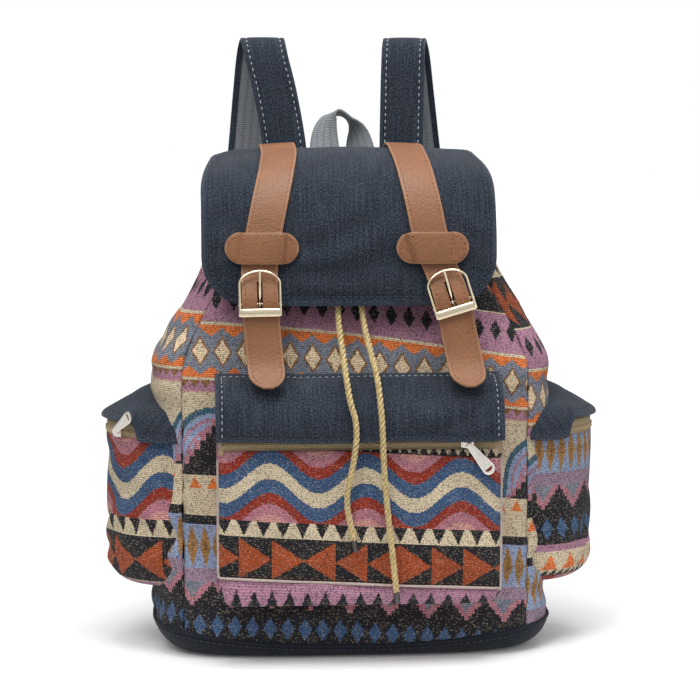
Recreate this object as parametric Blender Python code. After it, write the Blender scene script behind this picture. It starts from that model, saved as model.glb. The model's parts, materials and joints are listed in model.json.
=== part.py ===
"""Canvas backpack: drawstring body, strapped flap, zipped pockets, shoulder straps and carry handle.

Metres, +Z up. The front faces -Y, and the origin is the middle of the flat base's underside.
"""

import functools
import math

import bmesh
import bpy
import numpy as np
from mathutils import Vector

# Clearances
GAP = 0.0003            # between pieces that touch
RUN = 0.0004            # between a running piece and its guide

# Body
FABRIC = 0.0018         # jacquard panel with its lining
BASE_HALF_WIDTH = 0.130
BASE_HALF_DEPTH = 0.058
BODY_HALF_WIDTH = 0.155
BODY_FRONT = 0.079      # front panel's reach in front of the origin
BODY_BACK = 0.070       # back panel's reach behind it
BASE_RISE = 0.026       # height where the rounded base reaches full width
SHOULDER_HEIGHT = 0.215  # the body draws in above this
MOUTH_HEIGHT = 0.322    # top of the panels
MOUTH_HALF_WIDTH = 0.109
MOUTH_FRONT = 0.060
MOUTH_BACK = 0.058
CORNER_POWER = 3.6      # squareness of the body's plan
MOUTH_POWER = 2.6
SEAM_SHARE = 0.86       # side seam's place across the half width
SEAM_GAP = 0.00025      # half the gap at a seam, as a share of a turn
BASE_RIM = 0.019        # denim base's height at front and back
BASE_RIM_SIDE = 0.034   # and at the sides

# Collar, cord and eyelets
COLLAR_HEIGHT = 0.036
COLLAR_WALL = 0.0012
RING_ENDS = (0.262, 1.238)  # turns at which the cord enters and leaves its channel
CORD_DIAMETER = 0.005
EYELET_X = (-0.016, 0.004)
EYELET_HEIGHT = MOUTH_HEIGHT + 0.012
EYELET_RADIUS = 0.0052
EYELET_BORE = 0.0031
AGLET_LENGTH = 0.008
CORD_ROUTE_LEFT = (
    (-0.0160, -0.0700, 0.3340), (-0.0158, -0.0752, 0.3320), (-0.0155, -0.0770, 0.3220),
    (-0.0152, -0.0775, 0.3050), (-0.0150, -0.0782, 0.2860), (-0.0148, -0.0825, 0.2610),
    (-0.0125, -0.0965, 0.2380), (-0.0110, -0.1080, 0.2220), (-0.0080, -0.1164, 0.2020),
    (-0.0040, -0.1185, 0.1850), (-0.0060, -0.1182, 0.1600), (-0.0110, -0.1176, 0.1350),
    (-0.0095, -0.1174, 0.1180), (-0.0060, -0.1172, 0.1000),
)
CORD_ROUTE_RIGHT = (
    (0.0040, -0.0700, 0.3340), (0.0038, -0.0752, 0.3320), (0.0034, -0.0770, 0.3220),
    (0.0026, -0.0775, 0.3050), (0.0018, -0.0782, 0.2860), (0.0040, -0.0825, 0.2610),
    (0.0085, -0.0965, 0.2380), (0.0120, -0.1080, 0.2220), (0.0140, -0.1164, 0.2020),
    (0.0152, -0.1185, 0.1850), (0.0168, -0.1180, 0.1500), (0.0200, -0.1176, 0.1150),
    (0.0235, -0.1168, 0.0850), (0.0262, -0.1154, 0.0600),
)

# Flap
FLAP_THICKNESS = 0.004
FLAP_HALF_WIDTH = 0.114
FLAP_TOP_HALF_WIDTH = 0.105
FLAP_OVERLAP = 0.049    # the hem hangs this far below the mouth
FLAP_RISE = 0.032       # crest above the collar
FLAP_SEAM_DROP = 0.040  # back seam below the crest
FLAP_BOTTOM = MOUTH_HEIGHT - FLAP_OVERLAP
FLAP_CREST = MOUTH_HEIGHT + COLLAR_HEIGHT + FLAP_RISE
FLAP_SEAM_HEIGHT = FLAP_CREST - FLAP_SEAM_DROP
FLAP_RUN = 0.262        # cloth from the back seam to the hem
FLAP_FALL = 0.010       # how far its side edges fall away
FLAP_CORNER = 0.036
FLAP_FRONT = 0.0875     # outer face of its hanging part
FLAP_STANDOFF = 0.0080  # its outer face behind the back panel

# Flap straps, keepers and buckles
LEATHER = 0.0022
STRAP_LIFT = 0.0008     # the strap's inner face above the flap
TAB_LEATHER = 0.0011
TAB_FOOT = 0.0300       # the tab's seam below the buckle's base
STRAP_WIDTH = 0.0275
STRAP_TAIL = 0.058      # strap below the buckle's base
KEEPER_LENGTH = 0.055
KEEPER_WIDTH = 0.0235
KEEPER_CLEAR = 0.00375  # patch above the buckle
BUCKLE_WIDTH = 0.0320
BUCKLE_HEIGHT = 0.0350
BUCKLE_RAIL = 0.0018
BUCKLE_BAND = 0.0065
BUCKLE_BELOW = 0.007    # buckle's base below the flap's hem
BAR_DIAMETER = 0.0024
BUCKLE_TILT = 0.16      # the frame leans in towards its arch
PRONG_DIAMETER = 0.0022
PRONG_SLOT = 0.0009     # slot's clearance beside the prong
STRAP_HANG = (          # below the buckle's base, and out from its face
    (-0.0140, 0.0), (0.0040, 0.0), (0.0180, 0.0010), (0.0360, 0.0055), (STRAP_TAIL, 0.0165),
)
STRAP_LEFT = ((-0.057, 0.386), (-0.066, 0.350), (-0.0725, 0.316), (-0.0742, 0.280), (-0.069, 0.208))
STRAP_RIGHT = ((0.042, 0.386), (0.049, 0.350), (0.0560, 0.316), (0.0690, 0.280), (0.083, 0.212))

BAR_HEIGHT = 0.0090     # bar above the buckle's base
BUCKLE_BASE = FLAP_BOTTOM - BUCKLE_BELOW
KEEPER_HEIGHT = BUCKLE_BASE + BUCKLE_HEIGHT + KEEPER_WIDTH / 2 + KEEPER_CLEAR
BUCKLE_FACE = FLAP_FRONT + BAR_DIAMETER + 2 * TAB_LEATHER + 5 * GAP  # strap's inner face at the bar

# Front pocket
POCKET_HALF_WIDTH = 0.107
POCKET_BOTTOM = 0.048
POCKET_FACE = 0.106     # its flat face's reach in front of the origin
POCKET_BULGE = 0.006
POCKET_CORNER = 0.014
PIPING_DIAMETER = 0.003
ZIP_HEIGHT = 0.171      # middle of the chain
ZIP_TAPE = 0.0009
ZIP_TAPE_BELOW = 0.008
ZIP_TAPE_ABOVE = 0.024
CHAIN_WIDTH = 0.0040
CHAIN_RISE = 0.0014
BAND_STANDOFF = 0.0096  # the denim band's inner face in front of the tape
BAND_THICKNESS = 0.0024
BAND_EDGE = ZIP_HEIGHT + 0.0025
POCKET_TOP = ZIP_HEIGHT + 0.051
GUSSET_TOP = POCKET_TOP - 0.022  # its side walls end under the band's slope
SLIDER_LENGTH = 0.0095
SLIDER_WIDTH = 0.0072
SLIDER_WALL = 0.0009
SLIDER_BRIDGE = 0.0030   # bridge above the slider's plate
SLIDER_RISE = CHAIN_RISE + RUN + SLIDER_WALL + SLIDER_BRIDGE
POCKET_PULL_ANGLE = -50.0  # degrees below the zip's line
POCKET_SLIDER_X = 0.080
PULL_LENGTH = 0.031
PULL_WIDTH = 0.0095
PULL_THICKNESS = 0.0011

# Side pockets
SIDE_SEAT = 0.020       # the round pocket's upright axis inside the body's side
SIDE_AXIS_X = BODY_HALF_WIDTH - SIDE_SEAT
SIDE_RADIUS = 0.057
SIDE_BOTTOM = 0.043
SIDE_CORNER = 0.015
SIDE_ZIP = 0.172
SIDE_TAPE_HALF = 0.0085
SIDE_ROOF_EDGE = SIDE_ZIP + SIDE_TAPE_HALF + 0.0010
SIDE_ROOF_TOP = SIDE_ROOF_EDGE + 0.0245
SIDE_ROOF_OVERHANG = 0.004
SIDE_ROOF_WALL = 0.0024
LEFT_SLIDER_AT = 36.0   # degrees towards the front
RIGHT_SLIDER_AT = -40.0
LEFT_PULL = (-0.83, 0.56)   # the way the pull lies: along the zip towards the back, and up
RIGHT_PULL = (0.25, -0.97)

# Shoulder straps and handle
SHOULDER_WIDTH = 0.0355
SHOULDER_THICKNESS = 0.0040
LINING_THICKNESS = 0.0014
LINING_GAP = 0.0006
WEBBING_WIDTH = 0.025
WEBBING_THICKNESS = 0.0016
HANDLE_THICKNESS = 0.0022
SHOULDER_LEFT = (       # x, reach behind the flap's seam, height above it
    (-0.047, 0.0000, 0.0030), (-0.048, 0.0006, 0.0350), (-0.055, 0.0040, 0.0750), (-0.0625, 0.0105, 0.1050),
    (-0.065, 0.0225, 0.1165), (-0.068, 0.0370, 0.1050), (-0.071, 0.0480, 0.0750), (-0.076, 0.0600, 0.0250),
    (-0.086, 0.0690, -0.0500), (-0.096, 0.0630, -0.1300), (-0.103, 0.0480, -0.2000), (-0.106, 0.0350, -0.2350),
)
SHOULDER_RIGHT = (
    (0.047, 0.0000, 0.0030), (0.047, 0.0006, 0.0350), (0.048, 0.0040, 0.0750), (0.0495, 0.0105, 0.1050),
    (0.052, 0.0225, 0.1165), (0.057, 0.0370, 0.1050), (0.062, 0.0480, 0.0750), (0.070, 0.0600, 0.0250),
    (0.083, 0.0690, -0.0500), (0.095, 0.0630, -0.1300), (0.103, 0.0480, -0.2000), (0.106, 0.0350, -0.2350),
)
ADJUSTER_HEIGHT = 0.028
ADJUSTER_THICKNESS = 0.0045
ADJUSTER_RAIL = 0.0035
LOWER_WEBBING_END = (0.088, 0.032)  # x and height where it is sewn on
LOWER_WEBBING_BENDS = ((0.101, 0.0900, 0.072), (0.094, 0.0790, 0.052))
HANDLE_ROUTE = (        # x, reach behind the flap's seam, height above it; and the way the webbing's width lies
    ((-0.0142, 0.0000, 0.0020), (1.0, 0.0, 0.0)),
    ((-0.0150, 0.0020, 0.0240), (0.95, -0.2, 0.0)),
    ((-0.0150, 0.0110, 0.0450), (0.75, -0.6, 0.2)),
    ((-0.0090, 0.0150, 0.0585), (0.45, -0.85, 0.25)),
    ((0.0010, 0.0160, 0.0585), (0.2, -0.95, 0.0)),
    ((0.0100, 0.0150, 0.0490), (0.45, -0.85, -0.3)),
    ((0.0145, 0.0070, 0.0270), (0.9, -0.4, -0.1)),
    ((0.0142, 0.0000, 0.0020), (1.0, 0.0, 0.0)),
)

# Mesh density
AROUND = 44
TUBE_STEP = 2.6         # cord diameters between the points of a tube

COLOURS = {
    "denim": ((0.024, 0.036, 0.062), 0.85, 0.0),
    "jacquard": ((0.42, 0.22, 0.18), 0.85, 0.0),
    "leather": ((0.46, 0.20, 0.088), 0.45, 0.0),
    "gold": ((0.80, 0.66, 0.42), 0.20, 1.0),
    "silver": ((0.75, 0.73, 0.68), 0.22, 1.0),
    "cord": ((0.72, 0.55, 0.25), 0.60, 0.0),
    "dark_metal": ((0.05, 0.05, 0.055), 0.35, 1.0),
    "webbing": ((0.30, 0.32, 0.34), 0.80, 0.0),
    "tape": ((0.58, 0.44, 0.27), 0.80, 0.0),
    "plastic": ((0.02, 0.02, 0.025), 0.40, 0.0),
}


def smooth_path(points, count=None, step=None):
    """Points read evenly along a smooth curve through the given ones."""
    knots = np.array(points, float)
    padded = np.vstack([2 * knots[0] - knots[1], knots, 2 * knots[-1] - knots[-2]])
    fine = []
    for i in range(len(knots) - 1):
        a, b, c, d = padded[i:i + 4]
        for t in np.linspace(0, 1, 24, endpoint=False):
            fine.append(0.5 * (2 * b + (c - a) * t + (2 * a - 5 * b + 4 * c - d) * t * t
                               + (3 * b - a - 3 * c + d) * t ** 3))
    fine.append(knots[-1])
    fine = np.array(fine)
    run = np.concatenate([[0], np.cumsum(np.linalg.norm(np.diff(fine[:, :3], axis=0), axis=1))])
    if count is None:
        count = max(2, round(run[-1] / step) + 1)
    at = np.linspace(0, run[-1], count)
    return np.column_stack([np.interp(at, run, fine[:, k]) for k in range(fine.shape[1])])


def ease(a, b, t):
    t = min(max(t, 0.0), 1.0)
    return a + (b - a) * t * t * (3 - 2 * t)


def body_plan(z):
    """(half width, front reach, back reach, squareness) of the body's outside at height z."""
    rise = math.sqrt(max(0.0, 1 - (1 - min(z / BASE_RISE, 1.0)) ** 2))
    draw = (z - SHOULDER_HEIGHT) / (MOUTH_HEIGHT - SHOULDER_HEIGHT)
    width = BASE_HALF_WIDTH + (BODY_HALF_WIDTH - BASE_HALF_WIDTH) * rise
    front = BASE_HALF_DEPTH + (BODY_FRONT - BASE_HALF_DEPTH) * rise
    back = BASE_HALF_DEPTH + (BODY_BACK - BASE_HALF_DEPTH) * rise
    if draw > 0:
        width = ease(BODY_HALF_WIDTH, MOUTH_HALF_WIDTH, draw)
        front = ease(BODY_FRONT, MOUTH_FRONT, draw)
        back = ease(BODY_BACK, MOUTH_BACK, draw)
    return width, front, back, ease(CORNER_POWER, MOUTH_POWER, draw)


def front_y(x, z, out=0.0):
    """y of the front panel's outer face, or of a surface that lies out in front of it."""
    width, front, _, power = body_plan(z)
    return -front * (1 - min(abs(x) / width, 0.999) ** power) ** (1 / power) - out


def back_y(x, z, out=0.0):
    width, _, back, power = body_plan(z)
    return back * (1 - min(abs(x) / width, 0.999) ** power) ** (1 / power) + out


def side_x(y, z):
    width, front, back, power = body_plan(z)
    reach = front if y < 0 else back
    return width * (1 - min(abs(y) / reach, 0.999) ** power) ** (1 / power)


def plan_point(turn, z, inset=0.0):
    """A point of the body's plan; turn runs from 0 at +X through 0.25 at the front to 1."""
    width, front, back, power = body_plan(z)
    angle = -2 * math.pi * turn
    c, s = math.cos(angle), math.sin(angle)
    reach = front if s < 0 else back
    return (
        math.copysign(abs(c) ** (2 / power), c) * (width - inset),
        math.copysign(abs(s) ** (2 / power), s) * (reach - inset),
        z,
    )


def plan_run(start, end, z, inset, count):
    """Evenly spaced points of the body's plan between two turns."""
    fine = np.array([plan_point(t, z, inset) for t in np.linspace(start, end, 161)])
    run = np.concatenate([[0], np.cumsum(np.linalg.norm(np.diff(fine, axis=0), axis=1))])
    at = np.linspace(0, run[-1], count)
    return np.column_stack([np.interp(at, run, fine[:, k]) for k in range(3)])


def seam_turn(z):
    """How far round the plan from the +X axis the front side seam lies."""
    power = body_plan(z)[3]
    return math.acos(SEAM_SHARE ** (power / 2)) / (2 * math.pi)


def finish(name, bm, colour, smooth=50):
    """Turns a bmesh into a named object with its own material and outward faces."""
    bmesh.ops.remove_doubles(bm, verts=bm.verts, dist=1e-6)
    bmesh.ops.recalc_face_normals(bm, faces=bm.faces)
    mesh = bpy.data.meshes.new(name)
    bm.to_mesh(mesh)
    bm.free()
    mesh.shade_smooth()
    mesh.set_sharp_from_angle(angle=math.radians(smooth))
    obj = bpy.data.objects.new(name, mesh)
    bpy.context.collection.objects.link(obj)
    paint(obj, colour)
    return obj


def paint(obj, colour):
    base, roughness, metallic = COLOURS[colour]
    mat = bpy.data.materials.new(obj.name)
    mat.use_nodes = True
    shader = mat.node_tree.nodes["Principled BSDF"]
    shader.inputs["Base Color"].default_value = (*base, 1.0)
    shader.inputs["Roughness"].default_value = roughness
    shader.inputs["Metallic"].default_value = metallic
    obj.data.materials.append(mat)


def ring_solid(name, rings, colour, closed=False):
    """Bridges closed loops of points; the ends are capped, or joined to each other when closed."""
    bm = bmesh.new()
    loops = [[bm.verts.new(Vector(p)) for p in ring] for ring in rings]
    pairs = list(zip(loops, loops[1:])) + ([(loops[-1], loops[0])] if closed else [])
    for a, b in pairs:
        for i in range(len(a)):
            j = (i + 1) % len(a)
            bm.faces.new((a[i], a[j], b[j], b[i]))
    if not closed:
        bm.faces.new(loops[0])
        bm.faces.new(loops[-1])
    return finish(name, bm, colour)


def sheet_solid(name, outer, inner, colour):
    """A closed sheet between two grids of points with the same rows and columns."""
    rows, columns = len(outer), len(outer[0])
    bm = bmesh.new()
    faces = [[[bm.verts.new(Vector(p)) for p in row] for row in grid] for grid in (outer, inner)]
    for grid in faces:
        for i in range(rows - 1):
            for j in range(columns - 1):
                bm.faces.new((grid[i][j], grid[i][j + 1], grid[i + 1][j + 1], grid[i + 1][j]))
    edge = [(0, j) for j in range(columns)] + [(i, columns - 1) for i in range(1, rows)]
    edge += [(rows - 1, j) for j in range(columns - 2, -1, -1)] + [(i, 0) for i in range(rows - 2, 0, -1)]
    for (i, j), (k, m) in zip(edge, edge[1:] + edge[:1]):
        bm.faces.new((faces[0][i][j], faces[0][k][m], faces[1][k][m], faces[1][i][j]))
    return finish(name, bm, colour)


def tube(name, points, diameter, colour, sides=2):
    """A cord: an open poly spline with a round bevel and filled caps."""
    curve = bpy.data.curves.new(name, "CURVE")
    curve.dimensions = "3D"
    curve.bevel_depth = diameter / 2
    curve.bevel_resolution = sides
    curve.use_fill_caps = True
    spline = curve.splines.new("POLY")
    spline.points.add(len(points) - 1)
    for point, place in zip(spline.points, points):
        point.co = (*place, 1.0)
    obj = bpy.data.objects.new(name, curve)
    bpy.context.collection.objects.link(obj)
    paint(obj, colour)
    return obj


def ribbon(name, centres, across, faces_out, width, low, high, colour, tip=0.0):
    """A flat strap along centres, from low to high along its outward normal, with a rounded tip."""
    rings = []
    total = len(centres)
    spans = np.linalg.norm(np.diff(np.array(centres), axis=0), axis=1)
    left = np.concatenate([np.cumsum(spans[::-1])[::-1], [0]])
    for k in range(total):
        centre, side, out = Vector(centres[k]), Vector(across[k]), Vector(faces_out[k])
        half = width / 2
        if tip and left[k] < tip:
            half *= max(0.35, math.sqrt(1 - (1 - left[k] / tip) ** 2))
        rings.append([centre + side * s * half + out * o
                      for s, o in ((-1, low), (1, low), (1, high), (-1, high))])
    return ring_solid(name, rings, colour)


def frames_along(centres, across_hint, square=True):
    """Side and outward vectors along a path; the hint is one vector or one for each point.

    Without square the sides keep the hint's direction, so that a leaning strap doesn't twist at its bends.
    """
    centres = np.array(centres)
    hints = np.array(across_hint, float)
    if hints.ndim == 1:
        hints = np.tile(hints, (len(centres), 1))
    tangents = np.gradient(centres, axis=0)
    sides, outs = [], []
    for tangent, hint in zip(tangents, hints):
        tangent = Vector(tangent).normalized()
        side = Vector(hint)
        if square:
            side -= tangent * side.dot(tangent)
        side.normalize()
        sides.append(side)
        outs.append(side.cross(tangent).normalized())
    return sides, outs


def cutter(obj):
    obj.hide_render = True
    obj.display_type = "WIRE"
    return obj


def boolean(obj, other, operation):
    modifier = obj.modifiers.new(operation.lower(), "BOOLEAN")
    modifier.operation = operation
    modifier.solver = "EXACT"
    modifier.object = cutter(other)


def round_bar(name, start, end, diameter, colour, sides=12):
    start, end = Vector(start), Vector(end)
    bm = bmesh.new()
    bmesh.ops.create_cone(bm, cap_ends=True, segments=sides, radius1=diameter / 2, radius2=diameter / 2,
                          depth=(end - start).length)
    turn = Vector((0, 0, 1)).rotation_difference(end - start).to_matrix().to_4x4()
    turn.translation = (start + end) / 2
    bmesh.ops.transform(bm, matrix=turn, verts=bm.verts)
    return finish(name, bm, colour)


def set_origin(obj, place):
    """Puts the object's origin on its joint's axis, with its shape left in place."""
    place = Vector(place)
    for v in obj.data.vertices:
        v.co -= place
    obj.location = place


def rim_height(x):
    """Height of the base's rim below a point of the body's widest plan."""
    return BASE_RIM + (BASE_RIM_SIDE - BASE_RIM) * (x / BODY_HALF_WIDTH) ** 2


def make_base():
    turns = np.linspace(0, 1, AROUND + 1)[:-1]

    def rim(turn):
        return rim_height(plan_point(turn, SHOULDER_HEIGHT)[0])

    def ring(share, inset, floor):
        return [plan_point(t, max(floor, share * rim(t)), inset) for t in turns]

    outer = [ring(s, 0.0, 0.0) for s in (0.0, 0.12, 0.3, 0.55, 1.0)]
    inner = [ring(s, FABRIC, FABRIC) for s in (1.0, 0.55, 0.3, 0.0)]
    return ring_solid("base_panel", outer + inner, "denim")


def panel(name, start, end, columns, rows=9):
    """One jacquard panel of the body, from the base's rim to the collar."""
    grids = []
    for inset in (0.0, FABRIC):
        grid = []
        for v in np.linspace(0, 1, rows):
            row = []
            fine = plan_run(start(SHOULDER_HEIGHT), end(SHOULDER_HEIGHT), SHOULDER_HEIGHT, 0, columns)
            for k in range(columns):
                low = rim_height(fine[k][0]) + 2 * GAP
                z = low + (MOUTH_HEIGHT - low) * v
                points = plan_run(start(z), end(z), z, inset, columns)
                row.append(points[k])
            grid.append(row)
        grids.append(grid)
    return sheet_solid(name, grids[0], grids[1], "jacquard")


def make_body():
    panel("front_panel", lambda z: seam_turn(z) + SEAM_GAP, lambda z: 0.5 - seam_turn(z) - SEAM_GAP, 15)
    panel("back_panel", lambda z: 0.5 + seam_turn(z) + SEAM_GAP, lambda z: 1 - seam_turn(z) - SEAM_GAP, 13)
    panel("right_side_panel", lambda z: -seam_turn(z) + SEAM_GAP, lambda z: seam_turn(z) - SEAM_GAP, 11)
    panel("left_side_panel", lambda z: 0.5 - seam_turn(z) + SEAM_GAP,
          lambda z: 0.5 + seam_turn(z) - SEAM_GAP, 11)


def make_collar():
    """Folded channel round the mouth, open below, with the drawcord's ring lying in it."""
    turns = np.linspace(0, 1, AROUND + 1)[:-1]
    width = CORD_DIAMETER + 2 * RUN + 2 * COLLAR_WALL
    low, top = MOUTH_HEIGHT + GAP, MOUTH_HEIGHT + COLLAR_HEIGHT
    fold = width / 2
    outline = [(0.0, low), (0.0, top - fold), (fold * 0.3, top - fold * 0.3), (fold, top),
               (width - fold * 0.3, top - fold * 0.3), (width, top - fold), (width, low),
               (width - COLLAR_WALL, low), (width - COLLAR_WALL, top - fold),
               (fold, top - COLLAR_WALL), (COLLAR_WALL, top - fold), (COLLAR_WALL, low)]

    rings = [[(*plan_point(t, MOUTH_HEIGHT, inset)[:2], z) for t in turns] for inset, z in outline]
    collar = ring_solid("mouth_collar", rings, "denim", closed=True)
    for k, x in enumerate(EYELET_X):
        y = front_y(x, MOUTH_HEIGHT)
        hole = round_bar(f"eyelet_hole_{k}", (x, y - 0.004, EYELET_HEIGHT), (x, y + 0.0032, EYELET_HEIGHT),
                         2 * (EYELET_BORE + 0.0004), "denim")
        boolean(collar, hole, "DIFFERENCE")
        eyelet(("eyelet_left", "eyelet_right")[k], x, y)

    inset = COLLAR_WALL + RUN + CORD_DIAMETER / 2
    run = plan_run(*RING_ENDS, MOUTH_HEIGHT, inset, 40)
    tube("drawcord_ring", [(p[0], p[1], EYELET_HEIGHT) for p in run], CORD_DIAMETER, "cord")


def eyelet(name, x, y):
    """Turned ring pressed flat on the collar's outer face."""
    bm = bmesh.new()
    profile = [(EYELET_BORE, 0.0), (EYELET_BORE, 0.0010), (EYELET_BORE + 0.0006, 0.0014),
               (EYELET_RADIUS - 0.0005, 0.0011), (EYELET_RADIUS, 0.0)]
    steps = 18
    rings = []
    for r, rise in profile:
        rings.append([bm.verts.new((x + r * math.cos(a), y - 0.0006 - rise, EYELET_HEIGHT + r * math.sin(a)))
                      for a in np.linspace(0, 2 * math.pi, steps, endpoint=False)])
    for a, b in zip(rings, rings[1:] + rings[:1]):
        for i in range(steps):
            j = (i + 1) % steps
            bm.faces.new((a[i], a[j], b[j], b[i]))
    return finish(name, bm, "gold")


def cord_points(route):
    return smooth_path(route, step=TUBE_STEP * CORD_DIAMETER)


def make_cords():
    for side, route in (("left", CORD_ROUTE_LEFT), ("right", CORD_ROUTE_RIGHT)):
        points = cord_points(route)
        tube(f"drawcord_{side}", points, CORD_DIAMETER, "cord")
        end, along = Vector(points[-1]), (Vector(points[-1]) - Vector(points[-2])).normalized()
        start = end + along * GAP
        round_bar(f"cord_tip_{side}", start, start + along * AGLET_LENGTH, CORD_DIAMETER * 0.92, "dark_metal")


def flap_back():
    """y of the outer face of the flap where it is sewn to the back."""
    return back_y(0, FLAP_SEAM_HEIGHT) + FLAP_STANDOFF


@functools.lru_cache
def flap_line():
    """The flap's middle line from the back seam over the mouth to the hem."""
    back = flap_back()
    points = ((back, FLAP_SEAM_HEIGHT - 0.012), (back - 0.001, FLAP_SEAM_HEIGHT + 0.012),
              (back - 0.018, FLAP_CREST - 0.009),
              (back - 0.050, FLAP_CREST), (-0.022, FLAP_CREST - 0.002), (-0.056, FLAP_CREST - 0.014),
              (-0.076, FLAP_CREST - 0.036), (-FLAP_FRONT + 0.002, FLAP_CREST - 0.066),
              (-FLAP_FRONT, FLAP_BOTTOM + 0.020), (-FLAP_FRONT - 0.0004, FLAP_BOTTOM))
    return smooth_path([(0.0, *p) for p in points], 121)


def flap_profile(v):
    """(y, z) and outward normal of the flap's outer face at its middle; v runs from seam to hem."""
    path = flap_line()
    at = v * 120
    k = min(int(at), 119)
    t = at - k
    y, z = path[k][1:] * (1 - t) + path[k + 1][1:] * t
    slope = path[min(k + 1, 120)][1:] - path[max(k - 1, 0)][1:]
    normal = np.array([-slope[1], slope[0]])
    normal /= -np.linalg.norm(normal)
    return np.array([y, z]), normal


def flap_width(v):
    body = ease(FLAP_TOP_HALF_WIDTH, FLAP_HALF_WIDTH, (v - 0.30) / 0.35)
    left = (1 - v) * FLAP_RUN
    if left < FLAP_CORNER:
        body -= FLAP_CORNER * (1 - math.sqrt(max(0.0, 1 - (1 - left / FLAP_CORNER) ** 2)))
    return body


def flap_point(x, v, depth=0.0):
    """A point of the flap's outer face, or depth below it; the sides fall away towards their edges."""
    (y, z), (ny, nz) = flap_profile(v)
    share = abs(x) / FLAP_HALF_WIDTH
    drop = FLAP_FALL * share ** 3
    return (x, y - ny * (depth + drop), z - nz * (depth + drop))


def make_flap():
    rows, columns = 23, 13
    grids = []
    stations = list(np.linspace(0, 1 - FLAP_CORNER / FLAP_RUN, rows - 7)) + [
        1 - FLAP_CORNER / FLAP_RUN * (1 - math.sin(a)) for a in np.linspace(0, math.pi / 2, 8)[1:]]
    for depth in (0.0, FLAP_THICKNESS):
        grids.append([[flap_point(s * flap_width(v), v, depth) for s in np.linspace(-1, 1, columns)]
                      for v in stations])
    sheet_solid("flap_panel", grids[0], grids[1], "denim")


def strap_station(route, z):
    path = smooth_path([(x, 0.0, h) for x, h in route], 80)
    return float(np.interp(-z, -path[:, 2], path[:, 0]))


def flap_face(x, z):
    """Outermost y of the flap's front at height z."""
    low, high = 0.45, 1.0
    for _ in range(24):
        middle = (low + high) / 2
        if flap_point(x, middle)[2] > z:
            low = middle
        else:
            high = middle
    return flap_point(x, (low + high) / 2)[1]


def strap_path(route):
    """Middle line of a flap strap's inner face, from the flap's crest to the tip over the pocket."""
    points = []
    for v in np.linspace(0.27, 0.905, 16):
        x = strap_station(route, flap_profile(v)[0][1])
        points.append(flap_point(x, v, -STRAP_LIFT))
    for drop, reach in STRAP_HANG:
        z = BUCKLE_BASE - drop
        points.append((strap_station(route, z), -BUCKLE_FACE - reach, z))
    return smooth_path(points, 36)


def flap_across(x, z):
    """The way a strap's width lies: along the flap, and level below its hem."""
    fall = 3 * FLAP_FALL * (x / FLAP_HALF_WIDTH) ** 2 / FLAP_HALF_WIDTH
    lean = ease(0.0, fall, (z - FLAP_BOTTOM - 0.012) / 0.02)
    turned = math.copysign(lean, x)
    return (-1.0, -turned, 0.0) if z < FLAP_CREST - 0.02 else (-1.0, 0.0, turned)


def make_straps():
    for side, route in (("left", STRAP_LEFT), ("right", STRAP_RIGHT)):
        centres = strap_path(route)
        sides, outs = frames_along(centres, [flap_across(x, z) for x, _, z in centres], square=False)
        strap = ribbon(f"flap_strap_{side}", centres, sides, outs, STRAP_WIDTH, 0.0, LEATHER, "leather", tip=0.012)
        buckle_x = strap_station(route, BUCKLE_BASE + BUCKLE_HEIGHT / 2)
        lean = math.atan2(strap_station(route, BUCKLE_BASE) - strap_station(route, BUCKLE_BASE + BUCKLE_HEIGHT),
                          BUCKLE_HEIGHT)
        make_buckle(side, buckle_x, lean, strap)
        make_keeper(side, route)


def make_keeper(side, route):
    """Pill-shaped patch that bridges the strap and is sewn to the flap at both ends."""
    x = strap_station(route, KEEPER_HEIGHT)
    half, radius = KEEPER_LENGTH / 2, KEEPER_WIDTH / 2
    columns = 13
    grids = []
    for layer in (0.0, LEATHER):
        grid = []
        for t in np.linspace(-1, 1, 7):
            row = []
            for s in np.linspace(-1, 1, columns):
                across = s * half
                over = max(0.0, abs(across) - (half - radius))
                reach = math.sqrt(max(0.04, 1 - (over / radius) ** 2)) * radius
                z = KEEPER_HEIGHT + t * reach
                lift = ease(STRAP_LIFT + LEATHER + 0.0013, 0.0,
                            (abs(x + across - strap_station(route, z)) - STRAP_WIDTH / 2 - 0.0010) / 0.0055)
                row.append((x + across, flap_face(x + across, z) - GAP - lift - layer - 0.0002, z))
            grid.append(row)
        grids.append(grid)
    sheet_solid(f"strap_keeper_{side}", grids[1], grids[0], "leather")


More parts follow.
